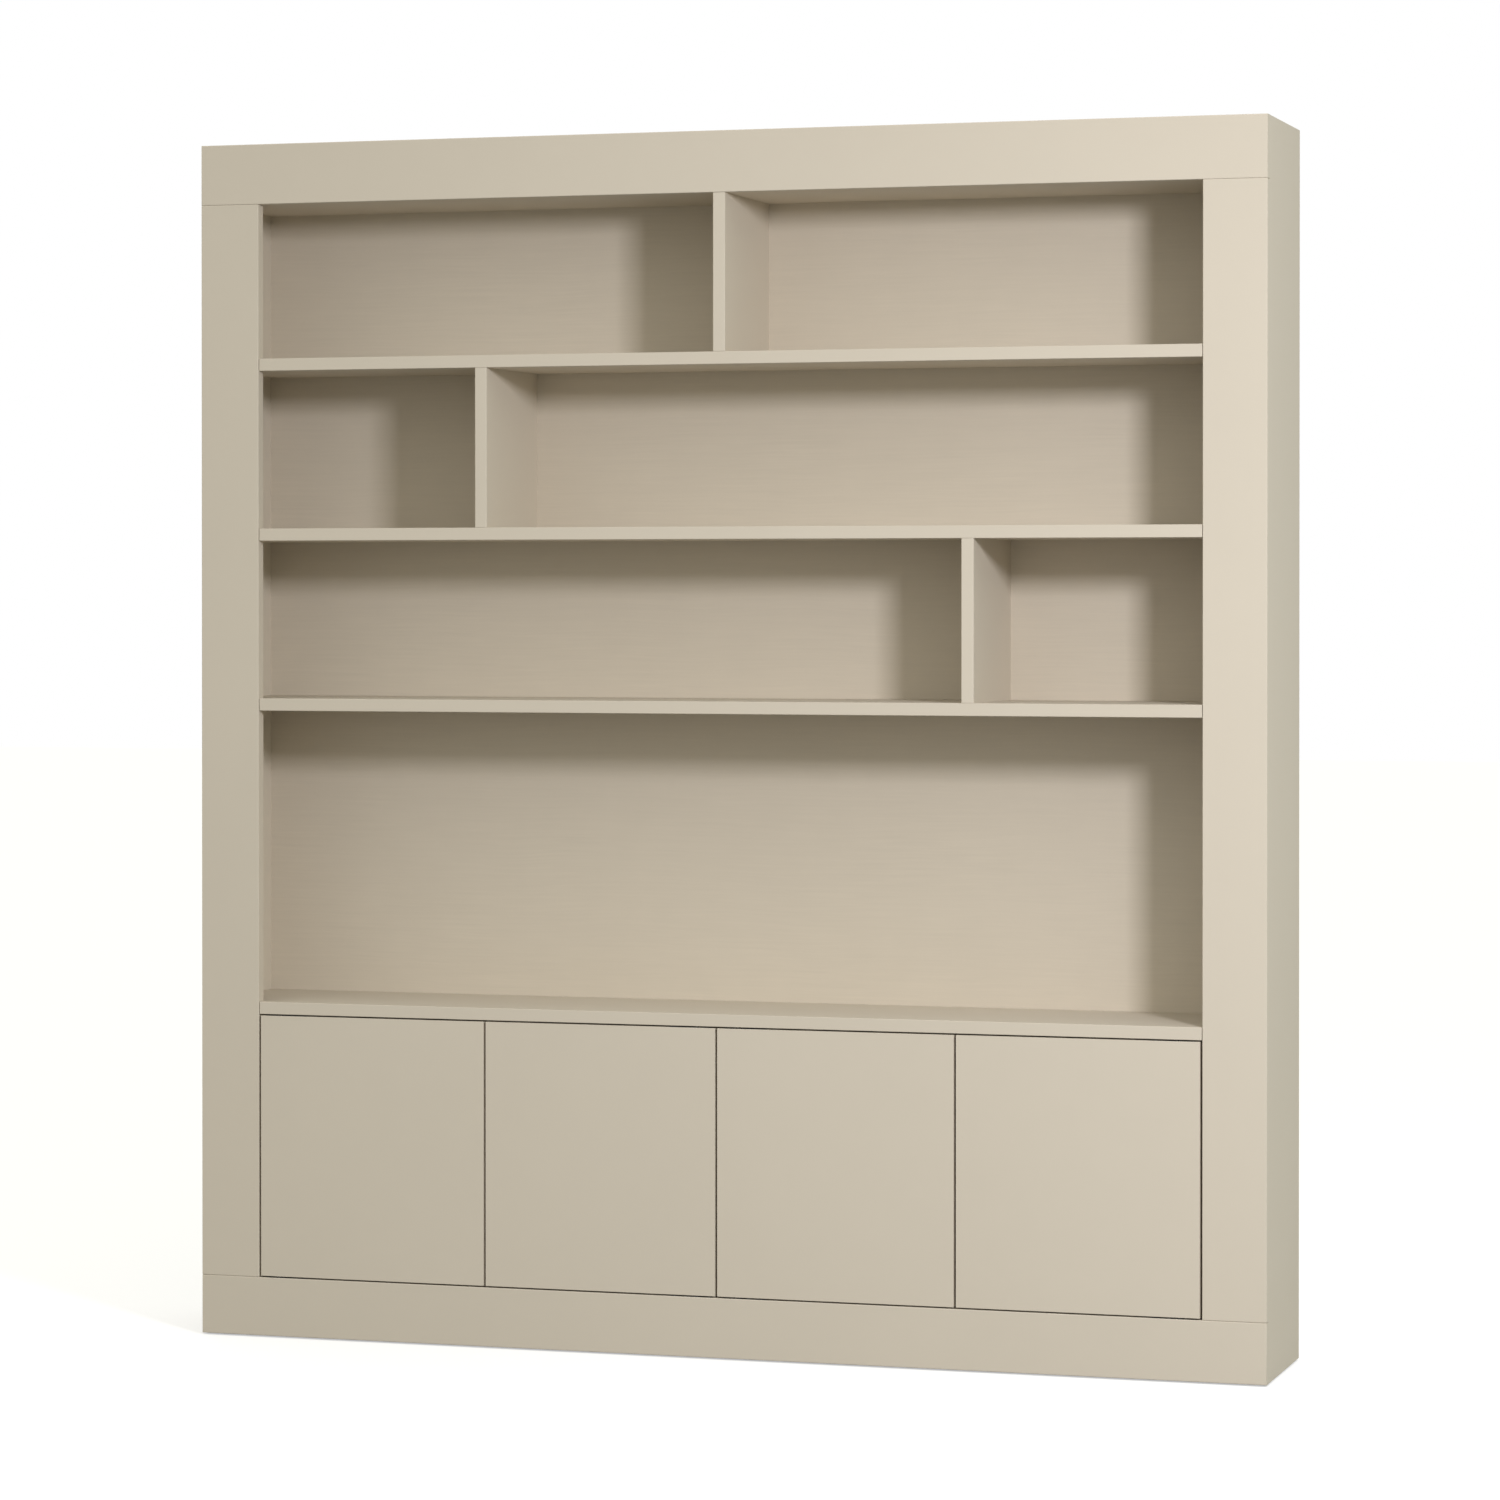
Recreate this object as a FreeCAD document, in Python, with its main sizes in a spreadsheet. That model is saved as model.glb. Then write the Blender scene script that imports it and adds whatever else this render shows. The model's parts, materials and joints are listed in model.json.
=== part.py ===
import FreeCAD, Part
import os
import re

import Sketcher

# Wall unit: a face frame of four boards stands in front of a box of side panels, shelves and
# uprights. Four flush doors close the cupboard at the bottom. They turn on pins let into their
# ends and are held by push latches. X runs to the right, Y to the back, Z up, in millimetres.
# The origin is on the floor, under the middle of the unit.

# Driving dimensions: alias, value, what it measures
SIZES = [
    ("unit_width", 1950, "over the outer faces of the side panels"),
    ("unit_depth", 300, "front of the frame to the wall"),
    ("board", 22, "thickness of every carcass board"),
    ("stile_width", 111, "width of the frame's uprights"),
    ("rail_height", 108, "floor to the upper edge of the bottom rail, and the same at the top"),
    ("cupboard_clear", 475, "cupboard floor to the underside of the counter"),
    ("niche_clear", 525, "counter to the underside of the lower shelf"),
    ("lower_clear", 284, "lower shelf to the underside of the middle shelf"),
    ("middle_clear", 284, "middle shelf to the underside of the upper shelf"),
    ("upper_clear", 278, "upper shelf to the ceiling"),
    ("upper_divider_offset", 5, "unit's middle to the middle of the upper row's divider"),
    ("middle_divider_from_left", 537, "left side to the middle of the middle row's divider"),
    ("lower_divider_from_right", 522, "right side to the middle of the lower row's divider"),
    ("foot_gap", 3, "floor to the lower edge of the boards"),
    ("arris", 1.5, "rounding of every front edge that shows"),
    ("front_setback", 1, "shelf fronts behind the face of the frame"),
    ("end_gap", 1, "shelf front to the edge of a stile"),
    ("back_recess", 32, "wall to the front of the back sheets"),
    ("back_thickness", 8, "thickness of the back sheets"),
    ("groove_depth", 8, "depth of the grooves that hold the back sheets"),
    ("groove_play", 0.3, "room for a back sheet in its groove"),
    ("top_setdown", 30, "top of the frame down to the top cover"),
    ("partition_setback", 45, "face of the frame to the cupboard's partition"),
    ("dowel_radius", 4, "dowel between two boards"),
    ("dowel_length", 34, "whole length of a dowel"),
    ("dowel_side", 13, "depth of a dowel in the board whose face it enters"),
    ("dowel_inset", 50, "board's edge to the middle of its first dowel"),
    ("door_thickness", 22, "thickness of a door"),
    ("door_gap", 4, "gap beside a door"),
    ("door_clearance", 2.7, "gap over and under a door"),
    ("pivot_from_edge", 36, "door's edge to its pivot"),
    ("pin_radius", 4, "pivot pin"),
    ("pin_fit", 0.05, "running fit of a pin, on the radius"),
    ("pin_seat", 6, "depth of the pin's hole behind its plate"),
    ("pin_end_gap", 0.5, "end of a pin to the bottom of its hole"),
    ("washer_radius", 6.5, "thrust washer that carries the door"),
    ("washer_gap", 0.3, "washer to the door's leaf"),
    ("leaf_length", 80, "pivot leaf and its plate"),
    ("leaf_width", 14, "pivot leaf, front to back"),
    ("leaf_thickness", 3, "pivot leaf and its plate"),
    ("leaf_inset", 8, "door's edge to the near end of the leaf"),
    ("leaf_setback", 3, "door's face to the leaf"),
    ("leaf_screw_near", 18, "pin to the first screw of a leaf"),
    ("leaf_screw_end", 10, "far end of a leaf to its second screw"),
    ("screw_radius", 1.75, "shank of a screw"),
    ("screw_head_radius", 3.4, "countersunk head"),
    ("screw_head_height", 1.8, "countersunk head"),
    ("screw_length", 16, "head to point"),
    ("latch_from_edge", 45, "door's free edge to the latch"),
    ("latch_gap", 0.3, "plunger to the strike plate of a closed door"),
    ("strike_radius", 7, "strike plate"),
    ("strike_thickness", 1.5, "strike plate"),
    ("plunger_radius", 4, "latch plunger"),
    ("plunger_length", 40, "latch plunger"),
    ("plunger_show", 5, "part of the plunger in front of its housing"),
    ("plunger_travel", 3, "how far the plunger is pushed in"),
    ("plunger_bevel", 0.8, "bevel at the plunger's tip"),
    ("housing_wall", 5, "wall round the plunger's bore"),
    ("housing_web", 4, "between the flange and the round part of the housing"),
    ("housing_end", 3, "closed rear end of the housing"),
    ("housing_flange", 3, "flange against the counter"),
    ("housing_ear", 8, "flange beside the housing, on each side"),
    ("spring_room", 12, "rear end of the plunger to the closed end of its bore"),
    ("spring_wire", 0.4, "radius of the spring's wire"),
    ("spring_play", 0.6, "spring to the side of the plunger's bore"),
    ("spring_pitch", 1.5, "one turn of the spring"),
    ("loose_thickness", 18, "loose shelf in the cupboard"),
    ("loose_clear", 214, "cupboard floor to the underside of the loose shelves"),
    ("loose_setback", 70, "face of the frame to the loose shelves"),
    ("loose_play", 1, "room at each end of a loose shelf"),
    ("peg_radius", 2.5, "peg that carries a loose shelf"),
    ("peg_show", 9, "part of a peg under its shelf"),
    ("peg_core", 4, "wood left between two pegs that face each other"),
    ("peg_inset", 40, "edge of a loose shelf to its pegs"),
    ("peg_pitch", 32, "one hole to the next one up"),
    ("foot_radius", 20, "pad of a levelling foot"),
    ("foot_height", 6, "pad of a levelling foot"),
    ("foot_stem_radius", 5, "threaded stem"),
    ("foot_stem_room", 26, "end of the stem to the cupboard floor's underside"),
    ("foot_inset", 45, "board beside a foot to the foot's middle"),
    ("socket_wall", 6, "wall of a foot's socket"),
    ("socket_above_pad", 18, "lower end of the socket above the foot's pad"),
    ("socket_flange_radius", 24, "flange against the cupboard floor"),
    ("socket_flange", 4, "flange against the cupboard floor"),
    ("bracket_spacing", 1300, "one wall bracket to the other"),
    ("bracket_width", 40, "wall bracket along the wall"),
    ("bracket_depth", 42, "leg of the bracket on the top cover"),
    ("bracket_rise", 26, "leg of the bracket against the wall"),
    ("bracket_metal", 2, "thickness of the bracket"),
    ("bracket_hole_radius", 3, "hole for the wall screw"),
    ("bracket_hole_up", 14, "top cover to the middle of that hole"),
    ("bracket_screw_in", 18, "wall to the bracket's own screws"),
    ("bracket_screw_apart", 22, "one screw of a bracket to the other"),
]

# Places and sizes that follow from these, by name
PLACES = {
    "left_face": "-unit_width / 2",
    "right_face": "unit_width / 2",
    "front_face": "-unit_depth / 2",
    "rear_face": "unit_depth / 2",
    "opening_left": "left_face + stile_width",
    "opening_right": "right_face - stile_width",
    "inner_left": "left_face + board",
    "inner_right": "right_face - board",
    "inner_width": "unit_width - 2 * board",
    "behind_frame": "front_face + board",
    "shelf_front": "front_face + front_setback",
    "partition_front": "front_face + partition_setback",
    "usable_depth": "unit_depth - back_recess",
    "back_front": "rear_face - back_recess",
    "floor_top": "rail_height",
    "floor_under": "floor_top - board",
    "counter_under": "floor_top + cupboard_clear",
    "counter_top": "counter_under + board",
    "lower_under": "counter_top + niche_clear",
    "lower_top": "lower_under + board",
    "middle_under": "lower_top + lower_clear",
    "middle_top": "middle_under + board",
    "upper_under": "middle_top + middle_clear",
    "upper_top": "upper_under + board",
    "ceiling": "upper_top + upper_clear",
    "unit_height": "ceiling + rail_height",
    "cover_top": "unit_height - top_setdown",
    "cover_under": "cover_top - board",
    "stile_height": "ceiling - floor_top",
    "door_width": "(unit_width - 2 * stile_width - 5 * door_gap) / 4",
    "door_bottom": "floor_top + door_clearance",
    "door_top": "counter_under - door_clearance",
    "door_rear": "front_face + door_thickness",
    "leaf_tail": "pivot_from_edge - leaf_inset",
    "leaf_screw_far": "leaf_length - leaf_tail - leaf_screw_end",
    "pivot_y": "front_face + leaf_setback + leaf_width / 2",
    "bore_radius": "plunger_radius + pin_fit",
    "barrel_radius": "plunger_radius + housing_wall",
    "latch_z": "counter_under - housing_flange - housing_web - barrel_radius",
    "housing_front": "door_rear + latch_gap + plunger_show",
    "bore_depth": "plunger_length - plunger_show + spring_room",
    "housing_length": "bore_depth + housing_end",
    "spring_radius": "bore_radius - spring_play - spring_wire",
    "spring_rise": "spring_room - plunger_travel - latch_gap - 2 * spring_wire",
    "peg_depth": "(board - peg_core) / 2",
    "peg_length": "peg_depth + peg_show",
    "loose_under": "floor_top + loose_clear",
    "loose_front": "front_face + loose_setback",
    "socket_low": "foot_height + socket_above_pad",
}

# Shares of the unit's width, from its middle, where feet and plinth bearers stand,
# shares of a stile's width where its dowels stand, and the share of a board's depth
# within which an edge counts as one of its front edges
FOOT_SHARES = (-0.42, 0, 0.42)
BEARER_SHARES = (-0.2, 0.2)
STILE_DOWEL_SHARES = (0.3, 0.7)
FRONT_EDGE_SHARE = 0.001

ALIASES = {alias for alias, value, meaning in SIZES}
TURNS = {
    "X": FreeCAD.Rotation(FreeCAD.Vector(0, 1, 0), 90),
    "Y": FreeCAD.Rotation(FreeCAD.Vector(1, 0, 0), -90),
    "Z": FreeCAD.Rotation(),
    "down": FreeCAD.Rotation(FreeCAD.Vector(1, 0, 0), 180),
}
ORIGIN = ("0", "0", "0")

doc = FreeCAD.newDocument("WallUnit")
sheet = doc.addObject("Spreadsheet::Sheet", "Sizes")
for row, (alias, value, meaning) in enumerate(SIZES, start=1):
    sheet.set(f"A{row}", meaning)
    sheet.set(f"B{row}", str(value))
    sheet.setAlias(f"B{row}", alias)
doc.recompute()

nodes = {}


# Formulas in plain size names
def formula(text):
    """Writes a formula in size names as an expression on the sheet's cells."""

    def swap(match):
        word = match.group(0)
        if word in PLACES:
            return "(" + formula(PLACES[word]) + ")"
        return "Sizes." + word if word in ALIASES else word

    return re.sub(r"[a-z][a-z_]*", swap, text)


def value_of(text):
    """The present value of a formula, for the first drawing of a sketch."""
    return float(sheet.evalExpression(formula(text)))


def bind(thing, path, text):
    thing.setExpression(path, formula(text))


def put(thing, place, turn="Z"):
    """Puts a thing's own origin at three formulas, with its own Z along turn."""
    thing.Placement = FreeCAD.Placement(FreeCAD.Vector(), TURNS[turn])
    for letter, text in zip("xyz", place):
        bind(thing, f"Placement.Base.{letter}", text)
    return thing


def node(name, thing):
    """Names a finished piece. The label is the name of its file."""
    thing.Label = name
    nodes[name] = thing
    return thing


# Bodies drawn as sketches
def start_sketch(body, role):
    """An empty sketch on one of the body's own origin planes."""
    sketch = body.newObject("Sketcher::SketchObject", body.Name + "Sketch")
    plane = next(plane for plane in body.Origin.OriginFeatures if plane.Role == role)
    sketch.AttachmentSupport = [(plane, "")]
    sketch.MapMode = "FlatFace"
    return sketch


def hold(sketch, kind, where, text):
    """Adds a constraint whose value is a formula."""
    place = sketch.addConstraint(Sketcher.Constraint(kind, *where, value_of(text)))
    bind(sketch, f"Constraints[{place}]", text)


def outline(body, role, points):
    """A closed sketch of straight lines, each corner held by two formulas."""
    sketch = start_sketch(body, role)
    corners = [FreeCAD.Vector(value_of(u), value_of(v), 0) for u, v in points]
    for start, end in zip(corners, corners[1:] + corners[:1]):
        sketch.addGeometry(Part.LineSegment(start, end), False)
    for index, (u, v) in enumerate(points):
        following = (index + 1) % len(points)
        sketch.addConstraint(Sketcher.Constraint("Coincident", index, 2, following, 1))
        for kind, axis, text in (("DistanceX", -2, u), ("DistanceY", -1, v)):
            if text == "0":
                sketch.addConstraint(Sketcher.Constraint("PointOnObject", index, 1, axis))
            else:
                hold(sketch, kind, (index, 1), text)
    return sketch


def front_edges(shape):
    """Names of the edges that lie whole in the shape's foremost plane."""
    reach = shape.BoundBox.YMin + shape.BoundBox.YLength * FRONT_EDGE_SHARE
    numbered = enumerate(shape.Edges, start=1)
    return [f"Edge{number}" for number, edge in numbered if edge.BoundBox.YMax < reach]


def upright_edges(shape):
    """Of those, the names of the edges that stand upright."""
    half = shape.BoundBox.ZLength / 2
    return [name for name in front_edges(shape) if shape.getElement(name).BoundBox.ZLength > half]


def board(name, place, points, height, eased=None):
    """A board cut to an outline in plan and padded up, with the edges that eased picks rounded."""
    body = doc.addObject("PartDesign::Body", name)
    pad = body.newObject("PartDesign::Pad", name + "Pad")
    pad.Profile = outline(body, "XY_Plane", points)
    bind(pad, "Length", height)
    if eased:
        doc.recompute()
        rounding = body.newObject("PartDesign::Fillet", name + "Arris")
        rounding.Base = (pad, eased(pad.Shape))
        bind(rounding, "Radius", "arris")
    return put(body, place)


def block(name, place, size, eased=None):
    """A straight board of a given length, depth and height."""
    wide, deep, high = size
    points = [("0", "0"), (wide, "0"), (wide, deep), ("0", deep)]
    return board(name, place, points, high, eased)


def turned(name, place, points, turn):
    """A solid of revolution from half its outline, given as radius and height."""
    body = doc.addObject("PartDesign::Body", name)
    profile = outline(body, "XZ_Plane", points)
    revolution = body.newObject("PartDesign::Revolution", name + "Turning")
    revolution.Profile = profile
    revolution.ReferenceAxis = (profile, ["V_Axis"])
    return put(body, place, turn)


# Simple solids, groups and cuts
def box(name, place, size):
    solid = doc.addObject("Part::Box", name)
    for key, text in zip(("Length", "Width", "Height"), size):
        bind(solid, key, text)
    return put(solid, place)


def rod(name, place, turn, radius, length):
    solid = doc.addObject("Part::Cylinder", name)
    bind(solid, "Radius", radius)
    bind(solid, "Height", length)
    return put(solid, place, turn)


def copy_of(source, name, place, turn="Z"):
    link = doc.addObject("App::Link", name)
    link.LinkedObject = source
    return put(link, place, turn)


def group(name, members):
    bunch = doc.addObject("Part::Compound", name)
    bunch.Links = members
    return bunch


def join(name, members):
    whole = doc.addObject("Part::MultiFuse", name)
    whole.Shapes = members
    return whole


def cut(name, base, tools):
    result = doc.addObject("Part::Cut", name)
    result.Base = base
    result.Tool = tools[0] if len(tools) == 1 else group(name + "Tools", tools)
    return result


# Uprights between the level boards: middle, front edge, lower end and upper end
UPRIGHTS = {
    "divider_upper": ("upper_divider_offset", "shelf_front", "upper_top", "ceiling"),
    "divider_middle": (
        "left_face + middle_divider_from_left",
        "shelf_front",
        "middle_top",
        "upper_under",
    ),
    "divider_lower": (
        "right_face - lower_divider_from_right",
        "shelf_front",
        "lower_top",
        "middle_under",
    ),
    "cupboard_partition": ("0", "partition_front", "floor_top", "counter_under"),
}

# Upper faces of the boards that run from side panel to side panel
SHELVES = {
    "shelf_upper": "upper_top",
    "shelf_middle": "middle_top",
    "shelf_lower": "lower_top",
    "counter": "counter_top",
}
LEVELS = SHELVES | {
    "top_cover": "cover_top",
    "ceiling_panel": "ceiling + board",
    "floor_panel": "floor_top",
}

# Dowels. Each stands square to the face of one board and enters the end of another.
dowel = rod("Dowel", ORIGIN, "Z", "dowel_radius", "dowel_length")
dowels = []


def add_dowel(turn, place):
    dowels.append(copy_of(dowel, f"Dowel{len(dowels)}", place, turn))


def rows_between(front, rear):
    """Two places along Y, each one inset from an edge of the board."""
    return (f"{front} + dowel_inset", f"{rear} - dowel_inset")


for top in LEVELS.values():
    for y in rows_between("behind_frame", "back_front"):
        middle = f"{top} - board / 2"
        add_dowel("X", ("inner_left - dowel_side", y, middle))
        add_dowel("X", ("inner_right + dowel_side - dowel_length", y, middle))

for middle, front, low, high in UPRIGHTS.values():
    for y in rows_between(front, "back_front"):
        add_dowel("Z", (middle, y, f"{low} - dowel_side"))
        add_dowel("Z", (middle, y, f"{high} + dowel_side - dowel_length"))

for edge in ("left_face", "opening_right"):
    for share in STILE_DOWEL_SHARES:
        x = f"{edge} + stile_width * {share}"
        for joint in ("floor_top", "ceiling"):
            add_dowel("Z", (x, "front_face + board / 2", f"{joint} - dowel_length / 2"))

all_dowels = node("carcass_dowels", group("Dowels", dowels))

# One countersunk screw, head upwards, with the flat of its head at the origin
shank = rod("ScrewShank", ("0", "0", "-screw_length"), "Z", "screw_radius", "screw_length")
head = doc.addObject("Part::Cone", "ScrewHead")
bind(head, "Radius1", "screw_radius")
bind(head, "Radius2", "screw_head_radius")
bind(head, "Height", "screw_head_height")
put(head, ("0", "0", "-screw_head_height"))
screw = join("Screw", [shank, head])

blanks = {}

# Face frame: two rails over the full width, with the stiles between them
for label, low, high in (
    ("top_rail", "ceiling", "rail_height"),
    ("bottom_rail", "foot_gap", "rail_height - foot_gap"),
):
    place = ("left_face", "front_face", low)
    blanks[label] = block(label + "_blank", place, ("unit_width", "board", high), front_edges)

for label, edge in (("stile_left", "left_face"), ("stile_right", "opening_right")):
    place = (edge, "front_face", "floor_top")
    size = ("stile_width", "board", "stile_height")
    blanks[label] = block(label + "_blank", place, size, upright_edges)

# Side panels behind the frame, each with a groove in its inner face for the back sheets
side_depth = "unit_depth - board"
groove_front = "usable_depth - board"
groove_rear = "usable_depth - board + back_thickness + groove_play"
left_plan = [
    ("0", "0"),
    ("board", "0"),
    ("board", groove_front),
    ("board - groove_depth", groove_front),
    ("board - groove_depth", groove_rear),
    ("board", groove_rear),
    ("board", side_depth),
    ("0", side_depth),
]
right_plan = [
    ("0", "0"),
    ("board", "0"),
    ("board", side_depth),
    ("0", side_depth),
    ("0", groove_rear),
    ("groove_depth", groove_rear),
    ("groove_depth", groove_front),
    ("0", groove_front),
]
for side, edge, plan in (("left", "left_face", left_plan), ("right", "inner_right", right_plan)):
    label = "side_panel_" + side
    place = (edge, "behind_frame", "foot_gap")
    blanks[label] = board(label + "_blank", place, plan, "unit_height - foot_gap")

# Top cover, ceiling and cupboard floor
for label, depth in (
    ("top_cover", "unit_depth - board"),
    ("ceiling_panel", "usable_depth - board"),
    ("floor_panel", "usable_depth - board"),
):
    place = ("inner_left", "behind_frame", f"{LEVELS[label]} - board")
    blanks[label] = block(label + "_blank", place, ("inner_width", depth, "board"))

# Shelves and counter: full width behind the stiles, and a tongue between them that comes forward
tongue_left = "stile_width - board + end_gap"
tongue_right = f"inner_width - ({tongue_left})"
tongue_depth = "board - front_setback"
shelf_depth = "usable_depth - front_setback"
shelf_plan = [
    (tongue_left, "0"),
    (tongue_right, "0"),
    (tongue_right, tongue_depth),
    ("inner_width", tongue_depth),
    ("inner_width", shelf_depth),
    ("0", shelf_depth),
    ("0", tongue_depth),
    (tongue_left, tongue_depth),
]
for label, top in SHELVES.items():
    place = ("inner_left", "shelf_front", f"{top} - board")
    blanks[label] = board(label + "_blank", place, shelf_plan, "board", front_edges)

# Dividers and the cupboard's partition
for label, (middle, front, low, high) in UPRIGHTS.items():
    place = (f"{middle} - board / 2", front, low)
    size = ("board", f"back_front - ({front})", f"{high} - ({low})")
    blanks[label] = block(label + "_blank", place, size, front_edges)

# Plinth behind the bottom rail
plinth_height = "floor_under - foot_gap"
place = ("inner_left", "back_front - board", "foot_gap")
node("plinth_rear_rail", block("plinth_rear", place, ("inner_width", "board", plinth_height)))
bearers = [
    block(
        f"bearer{number}",
        (f"unit_width * {share} - board / 2", "behind_frame", "foot_gap"),
        ("board", "usable_depth - 2 * board", plinth_height),
    )
    for number, share in enumerate(BEARER_SHARES)
]
node("plinth_bearers", group("Bearers", bearers))

# Back sheets in the grooves, one above the other, with their seams behind boards
sheet_left = "inner_left - groove_depth + groove_play"
sheet_width = f"-2 * ({sheet_left})"
for label, low, high in (
    ("back_sheet_cupboard", "floor_under", "counter_top - board / 2"),
    ("back_sheet_niche", "counter_top - board / 2", "lower_top - board / 2"),
    ("back_sheet_shelves", "lower_top - board / 2", "cover_under"),
):
    size = (sheet_width, "back_thickness", f"{high} - ({low})")
    node(label, block(label + "_board", (sheet_left, "back_front", low), size))

# Loose shelves in the cupboard, the pegs that carry them, and spare holes above and below
pegs = []
spare_holes = []
for side, start, end in (
    ("left", "inner_left", "-board / 2"),
    ("right", "board / 2", "inner_right"),
):
    place = (f"{start} + loose_play", "loose_front", "loose_under")
    size = (
        f"{end} - ({start}) - 2 * loose_play",
        "back_front - loose_play - (loose_front)",
        "loose_thickness",
    )
    node("cupboard_shelf_" + side, block("loose_" + side, place, size, front_edges))
    for peg_start, hole_start in (
        (f"{start} - peg_depth", f"{start} - peg_depth"),
        (f"{end} - peg_show", end),
    ):
        for y in ("loose_front + peg_inset", "back_front - peg_inset"):
            z = "loose_under - peg_radius"
            name = f"{len(pegs)}"
            place = (peg_start, y, z)
            pegs.append(rod("Peg" + name, place, "X", "peg_radius", "peg_length"))
            for spare, step in (("Above", "+ peg_pitch"), ("Below", "- peg_pitch")):
                place = (hole_start, y, f"{z} {step}")
                hole = rod(f"Hole{spare}{name}", place, "X", "peg_radius", "peg_depth")
                spare_holes.append(hole)
peg_holes = [node("shelf_pegs", group("Pegs", pegs)), group("SpareHoles", spare_holes)]

# One spring, wound round its own Z from the origin up
spring = doc.addObject("PartDesign::Body", "Spring")
wire = start_sketch(spring, "XZ_Plane")
centre = FreeCAD.Vector(value_of("spring_radius"), value_of("spring_wire"), 0)
wire.addGeometry(Part.Circle(centre, FreeCAD.Vector(0, 0, 1), value_of("spring_wire")), False)
hold(wire, "DistanceX", (0, 3), "spring_radius")
hold(wire, "DistanceY", (0, 3), "spring_wire")
hold(wire, "Radius", (0,), "spring_wire")
coil = spring.newObject("PartDesign::AdditiveHelix", "SpringCoil")
coil.Profile = wire
coil.ReferenceAxis = (wire, ["V_Axis"])
coil.Mode = 0
bind(coil, "Pitch", "spring_pitch")
bind(coil, "Height", "spring_rise")


# Doors. Each has a pivot at both ends: a leaf with a pin in the door's end, and a plate with a
# bore in the board that it faces. A push latch under the counter meets a strike plate.
pivot_plates = []
plate_screws = []
plate_recesses = []
washers = []
housings = []
latch_screws = []
springs = []


def pivot(name, pin_x, way, upper):
    """One pivot: gives the leaf with its pin, the leaf's screws and the recess for both."""
    door_end, seat = ("door_top", "counter_under") if upper else ("door_bottom", "floor_top")
    outward, inward = ("Z", "down") if upper else ("down", "Z")
    leaf_x = f"{pin_x} - leaf_tail" if way == "+" else f"{pin_x} + leaf_tail - leaf_length"
    leaf_z = f"{door_end} - leaf_thickness" if upper else door_end
    plate_z = seat if upper else f"{seat} - leaf_thickness"
    size = ("leaf_length", "leaf_width", "leaf_thickness")
    leaf = box(name + "Leaf", (leaf_x, "pivot_y - leaf_width / 2", leaf_z), size)
    plate = box(name + "Plate", (leaf_x, "pivot_y - leaf_width / 2", plate_z), size)

    pin_length = "door_clearance + leaf_thickness + pin_seat - pin_end_gap"
    pin = rod(name + "Pin", (pin_x, "pivot_y", door_end), outward, "pin_radius", pin_length)
    place = (pin_x, "pivot_y", seat)
    bore_length = "leaf_thickness + pin_seat"
    bore = rod(name + "Bore", place, outward, "pin_radius + pin_fit", bore_length)

    leaf_holds = []
    plate_holds = []
    for number, distance in enumerate(("leaf_screw_near", "leaf_screw_far")):
        x = f"{pin_x} {way} ({distance})"
        in_leaf = copy_of(screw, f"{name}LeafScrew{number}", (x, "pivot_y", door_end), outward)
        in_plate = copy_of(screw, f"{name}PlateScrew{number}", (x, "pivot_y", seat), inward)
        leaf_holds.append(in_leaf)
        plate_holds.append(in_plate)
    plate_screws.extend(plate_holds)
    pivot_plates.append(cut(name + "BoredPlate", plate, [join(name + "Holes", [bore] + plate_holds)]))
    plate_recesses.append(join(name + "PlateRecess", [plate, bore] + plate_holds))
    drilled = cut(name + "DrilledLeaf", join(name + "LeafAndPin", [leaf, pin]), leaf_holds)
    return drilled, leaf_holds, join(name + "LeafRecess", [leaf] + leaf_holds)


def washer(name, pin_x):
    """The disc under the door that carries its weight."""
    place = (pin_x, "pivot_y", "floor_top")
    disc = rod(name + "Disc", place, "Z", "washer_radius", "door_clearance - washer_gap")
    eye = rod(name + "Eye", place, "Z", "pin_radius + pin_fit", "door_clearance")
    washers.append(cut(name + "Washer", disc, [eye]))


def latch(name, x):
    """A push latch: a bored housing with two ears, its screws, its spring and its plunger."""
    flange = box(
        name + "Flange",
        (f"{x} - (barrel_radius) - housing_ear", "housing_front", "counter_under - housing_flange"),
        ("2 * (barrel_radius + housing_ear)", "housing_length", "housing_flange"),
    )
    web = box(
        name + "Web",
        (f"{x} - (barrel_radius)", "housing_front", "latch_z"),
        ("2 * (barrel_radius)", "housing_length", "housing_web + barrel_radius"),
    )
    start = (x, "housing_front", "latch_z")
    barrel = rod(name + "Barrel", start, "Y", "barrel_radius", "housing_length")
    bore = rod(name + "Bore", start, "Y", "bore_radius", "bore_depth")
    holds = []
    for number, way in enumerate("-+"):
        place = (
            f"{x} {way} (barrel_radius + housing_ear / 2)",
            "housing_front + housing_length / 2",
            "counter_under - housing_flange",
        )
        holds.append(copy_of(screw, f"{name}Screw{number}", place, "down"))
    latch_screws.extend(holds)
    solid = join(name + "Solid", [flange, web, barrel])
    housings.append(cut(name + "Housing", solid, [bore] + holds))

    spring_start = "housing_front + bore_depth - (spring_rise) - 2 * spring_wire"
    springs.append(copy_of(spring, name + "Spring", (x, spring_start, "latch_z"), "Y"))
    half_outline = [
        ("0", "0"),
        ("plunger_radius - plunger_bevel", "0"),
        ("plunger_radius", "plunger_bevel"),
        ("plunger_radius", "plunger_length"),
        ("0", "plunger_length"),
    ]
    tip = (x, "door_rear + latch_gap", "latch_z")
    return turned(name + "Plunger", tip, half_outline, "Y")


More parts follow.
